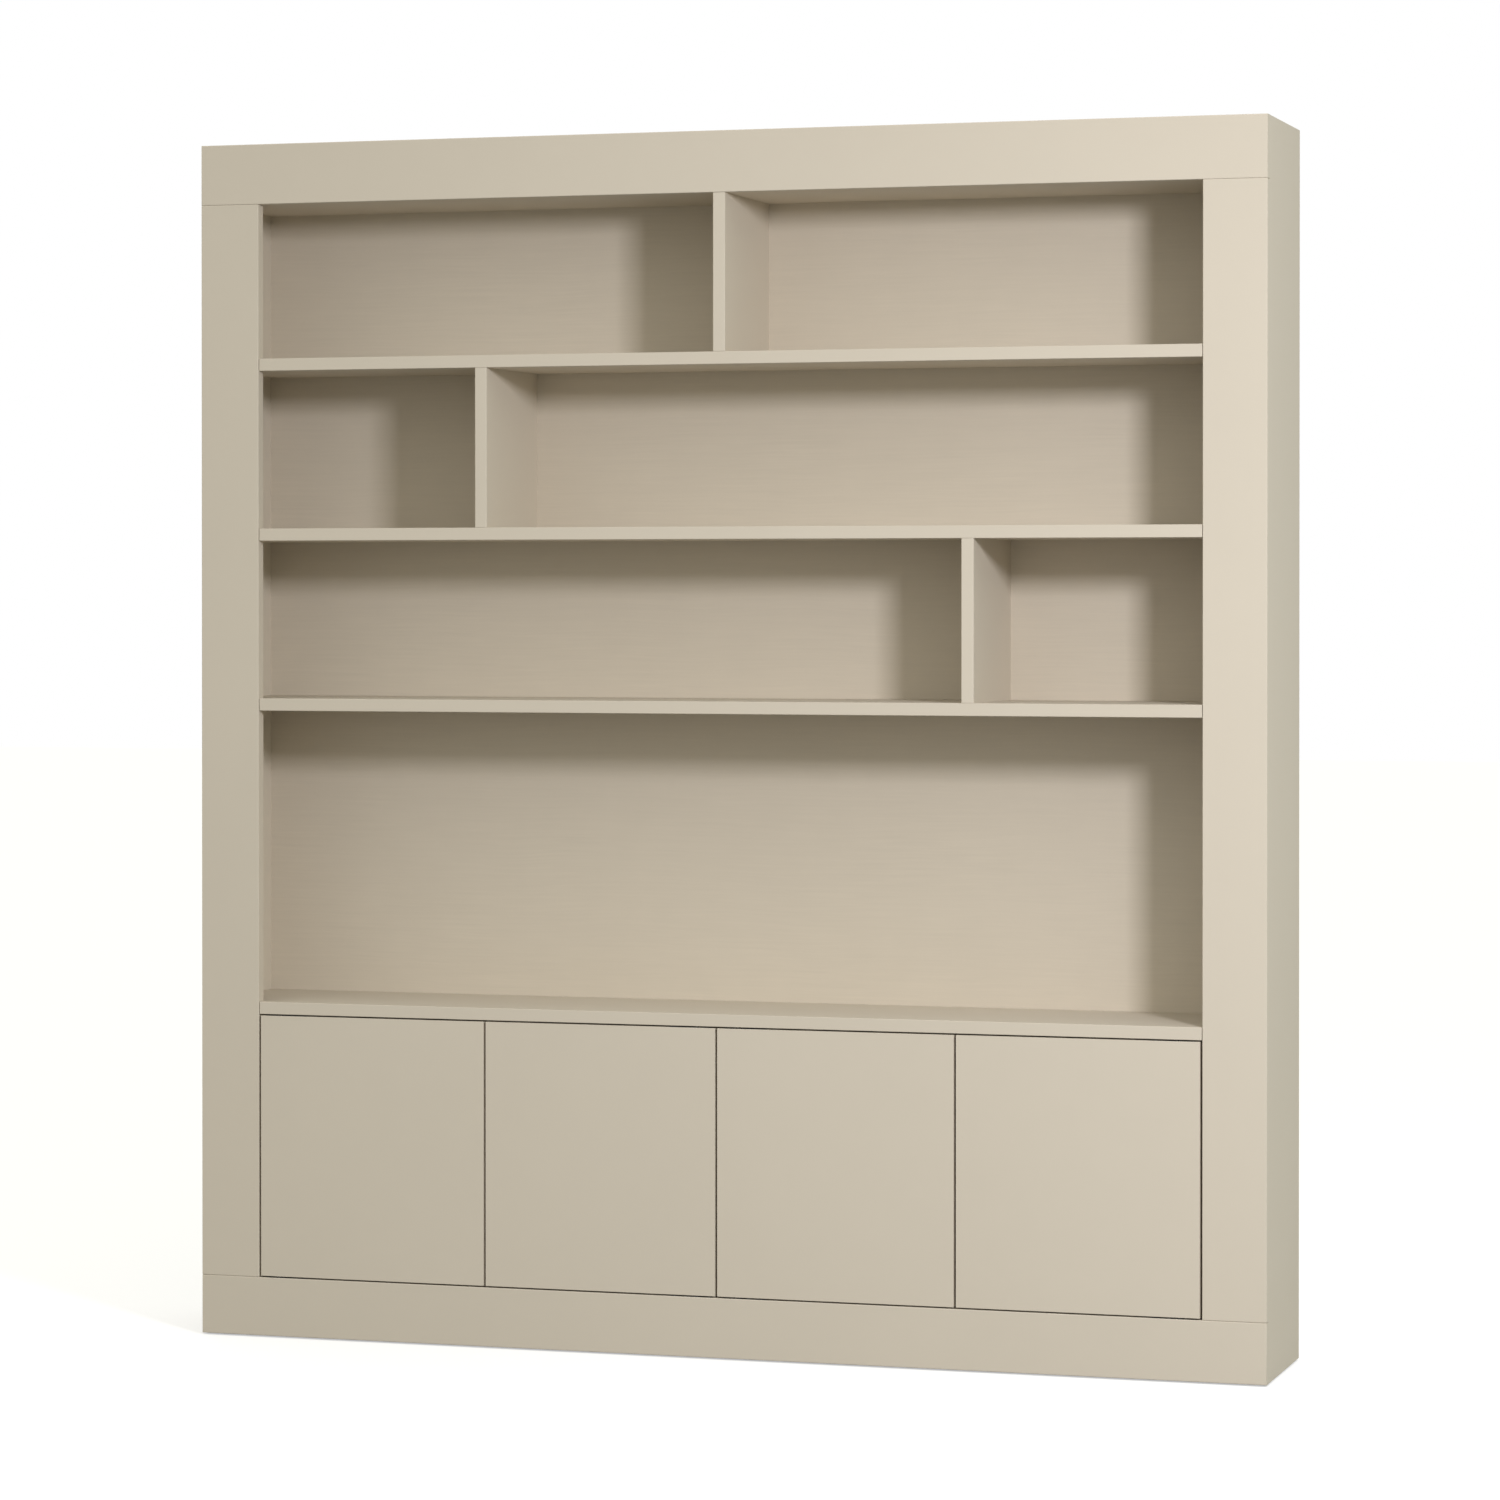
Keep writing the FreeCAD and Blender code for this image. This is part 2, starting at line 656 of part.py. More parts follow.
# The doors from left to right, each with the way from its hinge edge to its free edge
for number, way in enumerate("+-+-"):
    name = f"Door{number + 1}"
    label = f"door_{number + 1}"
    door_x = f"opening_left + door_gap + {number} * (door_width + door_gap)"
    edges = (door_x, f"{door_x} + door_width")
    hinge_edge, free_edge = edges if way == "+" else reversed(edges)
    back = "-" if way == "+" else "+"
    pin_x = f"{hinge_edge} {way} pivot_from_edge"
    latch_x = f"{free_edge} {back} latch_from_edge"

    top_leaf, top_screws, top_recess = pivot(name + "Top", pin_x, way, True)
    low_leaf, low_screws, low_recess = pivot(name + "Low", pin_x, way, False)
    node(label + "_pivot_leaves", group(name + "Leaves", [top_leaf, low_leaf]))
    node(label + "_leaf_screws", group(name + "LeafScrews", top_screws + low_screws))
    washer(name, pin_x)

    place = (latch_x, "door_rear - strike_thickness", "latch_z")
    strike = rod(name + "Strike", place, "Y", "strike_radius", "strike_thickness")
    node(label + "_strike_plate", strike)
    place = (door_x, "front_face", "door_bottom")
    size = ("door_width", "door_thickness", "door_top - (door_bottom)")
    panel = block(name + "Blank", place, size, front_edges)
    node(label, cut(name + "Panel", panel, [top_recess, low_recess, strike]))
    node(f"latch_plunger_{number + 1}", latch(name + "Latch", latch_x))

node("pivot_plates", group("PivotPlates", pivot_plates))
node("pivot_plate_screws", group("PivotPlateScrews", plate_screws))
node("pivot_washers", group("PivotWashers", washers))
node("latch_housings", group("LatchHousings", housings))
latch_holds = node("latch_screws", group("LatchScrews", latch_screws))
node("latch_springs", group("LatchSprings", springs))
recesses = group("PlateRecesses", plate_recesses)

# Levelling feet and the sockets that they screw into
sockets = []
feet = []
for share in FOOT_SHARES:
    for y in ("behind_frame + foot_inset", "back_front - board - foot_inset"):
        name = f"Foot{len(feet)}"
        x = f"unit_width * {share}"
        low = (x, y, "socket_low")
        socket_length = "floor_under - (socket_low)"
        outer = rod(name + "Tube", low, "Z", "foot_stem_radius + socket_wall", socket_length)
        bore = rod(name + "Bore", low, "Z", "foot_stem_radius + pin_fit", socket_length)
        high = (x, y, "floor_under - socket_flange")
        flange = rod(name + "Flange", high, "Z", "socket_flange_radius", "socket_flange")
        sockets.append(cut(name + "Socket", join(name + "Outer", [outer, flange]), [bore]))
        pad = rod(name + "Pad", (x, y, "0"), "Z", "foot_radius", "foot_height")
        stem_length = "floor_under - foot_stem_room"
        stem = rod(name + "Stem", (x, y, "0"), "Z", "foot_stem_radius", stem_length)
        feet.append(join(name, [pad, stem]))
node("levelling_sockets", group("Sockets", sockets))
node("levelling_feet", group("Feet", feet))

# Wall brackets on the top cover, each with one hole towards the wall
brackets = []
bracket_screws = []
for name, side in (("BracketLeft", "-"), ("BracketRight", "+")):
    middle = f"0 {side} bracket_spacing / 2"
    corner = f"{middle} - bracket_width / 2"
    lying = box(
        name + "Lying",
        (corner, "rear_face - bracket_depth", "cover_top"),
        ("bracket_width", "bracket_depth", "bracket_metal"),
    )
    standing = box(
        name + "Standing",
        (corner, "rear_face - bracket_metal", "cover_top"),
        ("bracket_width", "bracket_metal", "bracket_rise"),
    )
    place = (middle, "rear_face - bracket_metal", "cover_top + bracket_hole_up")
    hole = rod(name + "Hole", place, "Y", "bracket_hole_radius", "bracket_metal")
    holds = []
    for number, way in enumerate("-+"):
        place = (
            f"{middle} {way} bracket_screw_apart / 2",
            "rear_face - bracket_screw_in",
            "cover_top + bracket_metal",
        )
        holds.append(copy_of(screw, f"{name}Screw{number}", place))
    bracket_screws.extend(holds)
    brackets.append(cut(name, join(name + "Angle", [lying, standing]), [hole] + holds))
node("wall_brackets", group("Brackets", brackets))
cover_holds = node("wall_bracket_screws", group("BracketScrews", bracket_screws))

# Holes and recesses of the carcass boards
OTHER_CUTS = {
    "top_cover": [cover_holds],
    "counter": [recesses, latch_holds],
    "bottom_rail": [recesses],
    "side_panel_left": peg_holes,
    "side_panel_right": peg_holes,
    "cupboard_partition": peg_holes,
}
for label, blank in blanks.items():
    node(label, cut(label + "_drilled", blank, [all_dowels] + OTHER_CUTS.get(label, [])))

doc.recompute()

# Every object has to be sound before anything is written
for thing in doc.Objects:
    if "Invalid" in thing.State or "Error" in thing.State:
        raise RuntimeError(f"{thing.Label} failed: {thing.State}")
for label, thing in nodes.items():
    if thing.Shape.isNull() or not thing.Shape.isValid() or not thing.Shape.Solids:
        raise RuntimeError(f"{label} has no sound shape")

os.makedirs("parts", exist_ok=True)
for label, thing in nodes.items():
    thing.Shape.exportStep(f"parts/{label}.step")

bounds = Part.makeCompound([thing.Shape for thing in nodes.values()]).BoundBox
print(f"{len(nodes)} pieces, {sum(len(thing.Shape.Solids) for thing in nodes.values())} solids")
print(f"{bounds.XLength:.1f} x {bounds.YLength:.1f} x {bounds.ZLength:.1f} mm")
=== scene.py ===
# %% [markdown]
# # A painted wall unit
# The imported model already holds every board, hinge and latch at its real place. This lesson
# dresses it. Light and camera come first, then the paint and the other finishes, and then each
# piece, from the big frame boards down to the screws. Lengths are in metres.

# %% Load the frame
import json

import bmesh
import bpy
import numpy as np
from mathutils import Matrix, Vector

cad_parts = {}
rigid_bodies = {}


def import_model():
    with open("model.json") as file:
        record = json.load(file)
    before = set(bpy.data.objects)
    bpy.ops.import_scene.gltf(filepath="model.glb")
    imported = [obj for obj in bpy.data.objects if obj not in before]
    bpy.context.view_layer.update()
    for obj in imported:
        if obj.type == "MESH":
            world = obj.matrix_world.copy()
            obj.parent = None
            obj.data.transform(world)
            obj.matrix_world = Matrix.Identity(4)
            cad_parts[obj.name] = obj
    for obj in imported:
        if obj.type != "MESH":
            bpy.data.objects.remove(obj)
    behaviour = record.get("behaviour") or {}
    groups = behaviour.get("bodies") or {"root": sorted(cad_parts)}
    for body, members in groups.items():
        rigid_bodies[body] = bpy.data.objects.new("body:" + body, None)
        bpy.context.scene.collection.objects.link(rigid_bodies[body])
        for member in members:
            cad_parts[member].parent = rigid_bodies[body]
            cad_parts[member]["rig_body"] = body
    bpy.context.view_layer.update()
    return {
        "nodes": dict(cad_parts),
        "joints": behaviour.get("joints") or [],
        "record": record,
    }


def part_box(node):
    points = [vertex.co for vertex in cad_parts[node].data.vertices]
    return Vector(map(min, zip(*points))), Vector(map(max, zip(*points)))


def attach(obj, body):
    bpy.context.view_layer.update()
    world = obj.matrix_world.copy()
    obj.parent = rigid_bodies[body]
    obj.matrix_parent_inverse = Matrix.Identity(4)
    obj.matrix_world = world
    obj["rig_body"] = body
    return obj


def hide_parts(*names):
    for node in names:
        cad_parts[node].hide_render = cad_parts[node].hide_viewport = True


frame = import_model()
nodes = frame["nodes"]
slots = {row["node"]: row["material_slot"] for row in frame["record"]["subparts"]}
MM = 0.001

# %% [markdown]
# ## The camera
# The photograph was taken from the right with a long lens. A camera fitted to the unit's
# measured edges stands about eight metres away and is turned 17 degrees to the left. It looks
# almost level, and its picture is shifted up a little, as on a view camera, so that the
# uprights stay parallel.

# %% Camera
scene = bpy.context.scene
LENS_MM = 112.4
CAMERA_PLACE = (2.457, -7.958, 1.335)
CAMERA_YAW = np.radians(17.05)
CAMERA_PITCH = np.radians(-0.42)
CAMERA_SHIFT = -0.0792

camera_data = bpy.data.cameras.new("camera")
camera_data.lens = LENS_MM
camera_data.shift_y = CAMERA_SHIFT
camera = bpy.data.objects.new("camera", camera_data)
camera.location = CAMERA_PLACE
camera.rotation_euler = (np.pi / 2 + CAMERA_PITCH, 0.0, CAMERA_YAW)
scene.collection.objects.link(camera)
scene.camera = camera
print("the camera stands", round(camera.location.length, 2), "m away")

# %% [markdown]
# ## The light
# The soft shadow edges on the back sheets lead back to one square lamp. It hangs a little above
# the unit and to the right, about three metres in front of it, and points down at the plinth. The
# surround gives the other half of the light, so that a colour renders about as it is written. The
# lamp is a touch cool and the surround a touch warm, as the photograph's lights and shades are.

# %% Lamp
scene.view_settings.view_transform = "Standard"
LAMP_PLACE = (2.81, -3.28, 2.38)
LAMP_AIM = (0.0, 0.0, -0.4)
LAMP_SIZE = 0.52
LAMP_WATTS = 115.0
LAMP_COLOUR = (0.913, 0.917, 1.0)

lamp_data = bpy.data.lights.new("soft_lamp", "AREA")
lamp_data.size = LAMP_SIZE
lamp_data.energy = LAMP_WATTS
lamp_data.color = LAMP_COLOUR
lamp = bpy.data.objects.new("soft_lamp", lamp_data)
lamp.location = LAMP_PLACE
aim = Vector(LAMP_AIM) - Vector(LAMP_PLACE)
lamp.rotation_euler = aim.to_track_quat("-Z", "Y").to_euler()
scene.collection.objects.link(lamp)
print("lamp:", LAMP_WATTS, "watts,", round(aim.length, 2), "m from the point it lights")

# %% [markdown]
# ## Nodes by short calls
# A material is a small network of nodes. One helper adds a node, sets its properties, and either
# links its inputs or gives them a value. A second one starts a group, which is a piece of network
# with named inputs and outputs that many materials share.

# %% Node helpers


def add(tree, kind, inputs=None, **settings):
    """Adds a node, sets its properties, and joins or sets the inputs named in inputs."""
    node = tree.nodes.new("ShaderNode" + kind)
    for key, value in settings.items():
        setattr(node, key, value)
    for key, value in (inputs or {}).items():
        if isinstance(value, bpy.types.NodeSocket):
            tree.links.new(value, node.inputs[key])
        else:
            node.inputs[key].default_value = value
    return node


def math(tree, operation, first, second=0.0, third=0.0):
    """The output of one Math node."""
    return add(tree, "Math", {0: first, 1: second, 2: third}, operation=operation).outputs[0]


def vector_math(tree, operation, first, second):
    """The output of one Vector Math node."""
    return add(tree, "VectorMath", {0: first, 1: second}, operation=operation).outputs[0]


def remapped(tree, value, low, high, **settings):
    """The value carried from the range low to high onto nought to one, and held there."""
    span = {"Value": value, "From Min": low, "From Max": high}
    return add(tree, "MapRange", span, **settings).outputs[0]


def blended(tree, factor, first, second):
    """The first colour where the factor is nought and the second where it is one."""
    return add(tree, "MixRGB", {"Fac": factor, "Color1": first, "Color2": second}).outputs[0]


def effect(name, inputs, outputs):
    """A shader group with named sockets. Gives its tree, its inputs and its output node."""
    tree = bpy.data.node_groups.new(name, "ShaderNodeTree")
    for label, value in inputs.items():
        kind = "NodeSocketFloat" if isinstance(value, float) else "NodeSocketColor"
        kind = "NodeSocketVector" if isinstance(value, tuple) and len(value) == 3 else kind
        tree.interface.new_socket(label, in_out="INPUT", socket_type=kind).default_value = value
    for label in outputs:
        kind = "NodeSocketColor" if label == "Colour" else "NodeSocketFloat"
        tree.interface.new_socket(label, in_out="OUTPUT", socket_type=kind)
    return tree, tree.nodes.new("NodeGroupInput").outputs, tree.nodes.new("NodeGroupOutput")


def give(tree, result, **values):
    """Links each value to the output of that name of the group that the tree makes."""
    for label, value in values.items():
        tree.links.new(value, result.inputs[label])


def use(tree, group, inputs=None):
    """Places a group in a material and gives its outputs."""
    return add(tree, "Group", inputs, node_tree=group).outputs


def new_material(name):
    """A material with one Principled shader. Gives the material, its tree and the shader."""
    material = bpy.data.materials.new(name)
    material.use_nodes = True
    tree = material.node_tree
    return material, tree, tree.nodes["Principled BSDF"]


# %% [markdown]
# ## A white backdrop and a pale floor
# The photograph has a pure white ground. Rays that come straight from the camera, or by way of a
# glossy or clear surface, see a white surround, and all others see the weaker, warmer one that
# lights the unit. In the photograph the unit's right side is duller than its front, so this
# surround darkens straight to the right, as a studio does behind a dark screen. The floor is
# matt. For the same straight rays it is paler and glows a little, so that it fades into the white
# where it is lit and still takes the unit's shadow.

# %% Backdrop
SURROUND = (0.920, 0.910, 0.840, 1)
SHADE_SIDE = (0.39, 0.46, 0.32, 1)
SHADE_FROM = 0.50
SHADE_FULL = 0.95
WHITE = (1, 1, 1, 1)


def straight_rays(tree):
    """One for camera, glossy and transmitted rays, and nought for the rays that light things."""
    path = add(tree, "LightPath").outputs
    seen = math(tree, "MAXIMUM", path["Is Camera Ray"], path["Is Glossy Ray"])
    return math(tree, "MAXIMUM", seen, path["Is Transmission Ray"])


world = bpy.data.worlds.new("surround")
world.use_nodes = True
scene.world = world
tree = world.node_tree
tree.nodes.clear()
towards = add(tree, "TexCoord").outputs["Generated"]
rightward = add(tree, "SeparateXYZ", {"Vector": towards}).outputs["X"]
shade = remapped(tree, rightward, SHADE_FROM, SHADE_FULL, interpolation_type="SMOOTHSTEP")
room = blended(tree, shade, SURROUND, SHADE_SIDE)
shown = blended(tree, straight_rays(tree), room, WHITE)
sky = add(tree, "Background", {"Color": shown, "Strength": 1.0})
add(tree, "OutputWorld", {"Surface": sky.outputs[0]})
print("surround:", SURROUND[:3], "and straight to the right:", SHADE_SIDE[:3])

# %% Floor
FLOOR_HALF = 30.0
FLOOR_LIT = (0.27, 0.27, 0.265, 1)
FLOOR_SEEN = (0.60, 0.60, 0.60, 1)
FLOOR_LIFT = 0.50

floor_mesh = bpy.data.meshes.new("floor")
floor_corners = np.array([(-1, -1, 0), (1, -1, 0), (1, 1, 0), (-1, 1, 0)]) * FLOOR_HALF
floor_mesh.from_pydata(floor_corners.tolist(), [], [(0, 1, 2, 3)])
floor = bpy.data.objects.new("floor", floor_mesh)
scene.collection.objects.link(floor)

floor_paint, tree, shader = new_material("floor_paint")
tree.nodes.remove(shader)
straight = straight_rays(tree)
matt = add(tree, "BsdfDiffuse", {"Color": blended(tree, straight, FLOOR_LIT, FLOOR_SEEN)})
lift = math(tree, "MULTIPLY", straight, FLOOR_LIFT)
glow = add(tree, "Emission", {"Color": WHITE, "Strength": lift})
both = add(tree, "AddShader", {0: matt.outputs[0], 1: glow.outputs[0]})
tree.links.new(both.outputs[0], tree.nodes["Material Output"].inputs["Surface"])
floor_mesh.materials.append(floor_paint)
print("floor:", 2 * FLOOR_HALF, "m across")

# %% [markdown]
# ## Shapes from outlines
# Nearly every piece of a cabinet is an outline cut from a board or bar. So one function rounds the
# corners of an outline, and two more make a solid of it: `slab` carries the outline straight
# through a thickness, and `turned` carries a half section round an axis, as a lathe does. Real
# edges are never sharp, because paint and sandpaper round them, and the small rounding is what
# catches the light. Each point also keeps a mark: how far it lies on such a rounding.

# %% Outlines


def rounded(corners, radii=0.0, steps=4):
    """An outline with arcs for corners. With a and b the outward normals of the two edges at a
    corner, the mitre is (a + b) / (1 + a.b). An arc point is the corner, less radius times the
    mitre, plus radius times a normal that turns evenly from a to b. The sign swaps in a hollow
    corner. Gives the points, the way in which each moves when the outline grows, and the marks."""
    corners = np.array(corners, float)
    radii = np.array(np.broadcast_to(radii, len(corners)), float)
    after = np.roll(corners, -1, 0)
    if np.sum(corners[:, 0] * after[:, 1] - after[:, 0] * corners[:, 1]) < 0:
        corners, radii = corners[::-1], radii[::-1]
    ahead = np.roll(corners, -1, 0) - corners
    ahead /= np.linalg.norm(ahead, axis=1, keepdims=True)
    behind = np.roll(ahead, 1, 0)
    first = np.stack([behind[:, 1], -behind[:, 0]], 1)
    second = np.stack([ahead[:, 1], -ahead[:, 0]], 1)
    along = np.sum(first * second, 1)
    mitre = ((first + second) / (1 + along)[:, None])[:, None]
    turn = np.arctan2(first[:, 0] * second[:, 1] - first[:, 1] * second[:, 0], along)
    share = np.linspace(0, 1, steps + 1)
    angle = np.arctan2(first[:, 1], first[:, 0])[:, None] + turn[:, None] * share
    normal = np.stack([np.cos(angle), np.sin(angle)], -1)
    reach = (np.sign(turn) * radii)[:, None, None]
    points = corners[:, None] + reach * (normal - mitre)
    grow = np.where(radii[:, None, None] > 0, normal, mitre)
    marks = (radii > 0)[:, None] * np.sin(np.pi * share)
    return points.reshape(-1, 2), grow.reshape(-1, 2), marks.ravel()


def rectangle(low_a, low_b, high_a, high_b):
    """The four corners of an upright rectangle, one after the other."""
    return [(low_a, low_b), (high_a, low_b), (high_a, high_b), (low_a, high_b)]


# %% Slabs and turned pieces


def skin(rings, marks, around=False):
    """Faces between neighbouring rings of points. Each ring is closed. The first and last ring
    get a lid, or are joined to each other when the rings themselves go all the way around."""
    rows, columns = rings.shape[:2]
    index = np.arange(rows * columns).reshape(rows, columns)
    index = np.vstack([index, index[:1]]) if around else index
    right = np.roll(index, -1, 1)
    quads = np.stack([index[:-1], right[:-1], right[1:], index[1:]], -1).reshape(-1, 4).tolist()
    lids = [] if around else [index[0, ::-1].tolist(), index[-1].tolist()]
    return rings.reshape(-1, 3), quads + lids, np.broadcast_to(marks, (rows, columns)).ravel()


def slab(outline, low, high, ease=0.4 * MM, axis="Z"):
    """An outline carried along an axis. At both ends it draws in by ease * (1 - cos t) while it
    rises by ease * sin t, with t a quarter turn, so that the arris is a quarter round."""
    points, grow, marks = outline
    steps = 4
    ease = np.broadcast_to(ease, 2)
    quarter = np.linspace(0, np.pi / 2, steps + 1)
    turn = np.concatenate([quarter[::-1], quarter])
    size = np.repeat(ease, steps + 1)
    inward = size * (1 - np.cos(turn))
    lift = size * (1 - np.sin(turn))
    height = np.where(np.arange(len(turn)) <= steps, low + lift, high - lift)
    flat = points[None] - inward[:, None, None] * grow[None]
    level = np.broadcast_to(height[:, None], flat.shape[:2])
    rings = np.stack([flat[..., 0], flat[..., 1], level], -1)
    order = {"Z": [0, 1, 2], "Y": [0, 2, 1], "X": [2, 0, 1]}[axis]
    return skin(rings[..., order], np.maximum(np.abs(np.sin(2 * turn))[:, None], marks[None]))


WAYS = {
    "up": ((1, 0, 0), (0, 1, 0), (0, 0, 1)),
    "down": ((1, 0, 0), (0, -1, 0), (0, 0, -1)),
    "back": ((1, 0, 0), (0, 0, -1), (0, 1, 0)),
    "front": ((1, 0, 0), (0, 0, 1), (0, -1, 0)),
    "right": ((0, 0, -1), (0, 1, 0), (1, 0, 0)),
    "left": ((0, 0, 1), (0, 1, 0), (-1, 0, 0)),
}


def placed(shape, place, way="up"):
    """The shape turned so that its own Z runs the given way, and moved to its place."""
    points, faces, marks = shape
    return points @ np.array(WAYS[way], float) + np.array(place, float), faces, marks


def turned(section, radii=0.0, around=32, steps=4):
    """A closed half section of (radius, height) corners swept round Z. A point goes to
    (radius * cos t, radius * sin t, height). Points on the axis meet and are merged later."""
    points, _, marks = rounded(section, radii, steps)
    angle = np.linspace(0, 2 * np.pi, around, endpoint=False)
    rings = np.stack([
        points[:, :1] * np.cos(angle),
        points[:, :1] * np.sin(angle),
        np.broadcast_to(points[:, 1:], (len(points), around)),
    ], -1)
    return skin(rings, marks[:, None], around=True)


def together(shapes):
    """Several shapes as one, with the face numbers of each moved past the points before it."""
    starts = np.cumsum([0] + [len(shape[0]) for shape in shapes[:-1]])
    faces = [[i + start for i in face] for shape, start in zip(shapes, starts) for face in shape[1]]
    return (
        np.concatenate([shape[0] for shape in shapes]),
        faces,
        np.concatenate([shape[2] for shape in shapes]),
    )


# %% [markdown]
# ## From a shape to a piece
# `make` does what every piece needs: it fills the mesh, merges points that meet, cuts recesses
# with Boolean modifiers, and shades smoothly over the small roundings while the flats stay flat.
# Then it ties the piece to the body that it moves with, names it after the solid that it stands
# for, and hides that solid.

# %% Making pieces
SHARP = np.radians(40)
chance = np.random.default_rng(11)


def keep_mark(mesh, name, values):
    """Keeps one number for each point of a mesh, for the materials to read."""
    values = np.asarray(values, np.float32)
    mesh.attributes.new(name, "FLOAT", "POINT").data.foreach_set("value", values)


def mesh_of(name, shape):
    """A mesh with the shape's points, faces and edge marks. Doubles are merged first and the
    normals recalculated after that, so that the closed surface points outwards."""
    points, faces, marks = shape
    mesh = bpy.data.meshes.new(name)
    mesh.from_pydata(np.asarray(points).tolist(), [], faces)
    keep_mark(mesh, "edge", marks)
    work = bmesh.new()
    work.from_mesh(mesh)
    bmesh.ops.remove_doubles(work, verts=work.verts, dist=1e-6)
    bmesh.ops.dissolve_degenerate(work, dist=1e-7, edges=work.edges)
    bmesh.ops.recalc_face_normals(work, faces=work.faces)
    work.to_mesh(mesh)
    work.free()
    return mesh


def applied(thing):
    """The thing's mesh with its modifiers worked in. The modifiers are then taken off."""
    graph = bpy.context.evaluated_depsgraph_get()
    mesh = bpy.data.meshes.new_from_object(thing.evaluated_get(graph))
    thing.modifiers.clear()
    return mesh


def carved(thing, cutters):
    """Cuts the cutter shapes out of a thing, all in one Boolean."""
    tool = bpy.data.objects.new("cutter", mesh_of("cutter", together(cutters)))
    scene.collection.objects.link(tool)
    modifier = thing.modifiers.new("recesses", "BOOLEAN")
    modifier.operation = "DIFFERENCE"
    modifier.solver = "EXACT"
    modifier.use_self = True
    modifier.object = tool
    thing.data = applied(thing)
    bpy.data.objects.remove(tool)


def make(node, shape, cutters=()):
    """A finished piece for a CAD node. It rides on the node's body, takes the node's material
    slot, and is shown in the node's place."""
    name = node + "_piece"
    thing = bpy.data.objects.new(name, mesh_of(name, shape))
    scene.collection.objects.link(thing)
    if cutters:
        carved(thing, cutters)
    mesh = thing.data
    mesh.polygons.foreach_set("use_smooth", np.ones(len(mesh.polygons), bool))
    mesh.set_sharp_from_angle(angle=SHARP)
    weights = thing.modifiers.new("flat faces lead", "WEIGHTED_NORMAL")
    weights.keep_sharp = True
    weights.weight = 100
    thing.data = applied(thing)
    thing.data.name = name
    tone = chance.uniform(-1, 1)
    keep_mark(thing.data, "tone", np.full(len(thing.data.vertices), tone))
    thing.data.materials.clear()
    thing.data.materials.append(finishes[slots[node]])
    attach(thing, nodes[node]["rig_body"])
    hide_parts(node)
    return thing


def faces_of(things):
    """How many triangles a list of pieces holds."""
    return sum(len(p.vertices) - 2 for thing in things for p in thing.data.polygons)


# %% [markdown]
# ## Shared effects
# A new cabinet is an even colour only from far away. Close by, sprayed paint has a slow drift in
# tone, a fine stipple that softens its gloss, and thinner, brighter arrises. Each such effect is
# a group, built once, and every material gives it its own values. All patterns read Object
# coordinates, in metres, so a scale of 100 means features about a centimetre across. The `tone`
# that every piece keeps shifts the pattern, so that no two boards carry the same one.

# %% Places and noise
TONE_SHIFT = 20.0


def mark_of(tree, name):
    """The value of a named attribute of the mesh."""
    return add(tree, "Attribute", attribute_name=name).outputs["Fac"]


def pattern_place(tree):
    """Object coordinates and a fourth coordinate that differs from piece to piece."""
    shift = math(tree, "MULTIPLY", mark_of(tree, "tone"), TONE_SHIFT)
    return add(tree, "TexCoord").outputs["Object"], shift


def noise(tree, place, shift, scale, detail=2.0):
    """Four-dimensional noise, from nought to one."""
    inputs = {"Vector": place, "W": shift, "Scale": scale, "Detail": detail}
    return add(tree, "TexNoise", inputs, noise_dimensions="4D").outputs["Fac"]


def tinted(tree, colour, factor):
    """The colour, lighter or darker by a factor."""
    return add(tree, "HueSaturation", {"Color": colour, "Value": factor}).outputs["Color"]


# %% Paint film
CLOUD_SCALE = 16.0
DRIFT_SCALE = 2.4
RIPPLE_SCALE = 150.0
RIPPLE_HEIGHT = 0.030
STIPPLE_SCALE = 1300.0
STIPPLE_HEIGHT = 0.008
BOARD_SPREAD = 0.006

tree, given, result = effect(
    "paint_film",
    {
        "Base": (0.7, 0.6, 0.5, 1), "Worn": (0.8, 0.7, 0.6, 1),
        "Drift": 0.04, "Wear": 0.3, "Sheen": 0.4,
    },
    ("Colour", "Roughness", "Height"),
)
place, shift = pattern_place(tree)
slow = noise(tree, place, shift, DRIFT_SCALE)
cloud = noise(tree, place, shift, CLOUD_SCALE, 4.0)
ripple = noise(tree, place, shift, RIPPLE_SCALE)
stipple = noise(tree, place, shift, STIPPLE_SCALE, 1.0)
mixed = math(tree, "MULTIPLY_ADD", slow, 0.6, math(tree, "MULTIPLY", cloud, 0.4))
drift = math(tree, "MULTIPLY", math(tree, "SUBTRACT", mixed, 0.5), given["Drift"])
own = math(tree, "MULTIPLY_ADD", mark_of(tree, "tone"), BOARD_SPREAD, 1.0)
factor = math(tree, "MULTIPLY_ADD", drift, 2.0, own)
rubbed = math(tree, "MULTIPLY", remapped(tree, cloud, 0.35, 0.7), mark_of(tree, "edge"))
rubbed = math(tree, "MULTIPLY", rubbed, given["Wear"])
colour = blended(tree, rubbed, tinted(tree, given["Base"], factor), given["Worn"])
rough = math(tree, "SUBTRACT", given["Sheen"], 0.05)
rough = math(tree, "MULTIPLY_ADD", cloud, 0.10, rough)
rough = math(tree, "MULTIPLY_ADD", rubbed, -0.15, rough)
height = math(tree, "MULTIPLY", stipple, STIPPLE_HEIGHT)
height = math(tree, "MULTIPLY_ADD", ripple, RIPPLE_HEIGHT, height)
give(tree, result, Colour=colour, Roughness=rough, Height=height)
paint_film = tree
print("paint film:", len(tree.nodes), "nodes")

# %% [markdown]
# Wood shows through its paint as short streaks along the grain, because the soft early wood
# swells and the hard late wood doesn't. Noise that is stretched many times along one axis gives
# them. The group takes the stretch, so the same one serves thin back sheets and raw boards.

# %% Grain
BEND_SCALE = 3.0
BEND = 0.02
PATCH_SCALE = 7.0
GRAIN_HEIGHT = 0.05

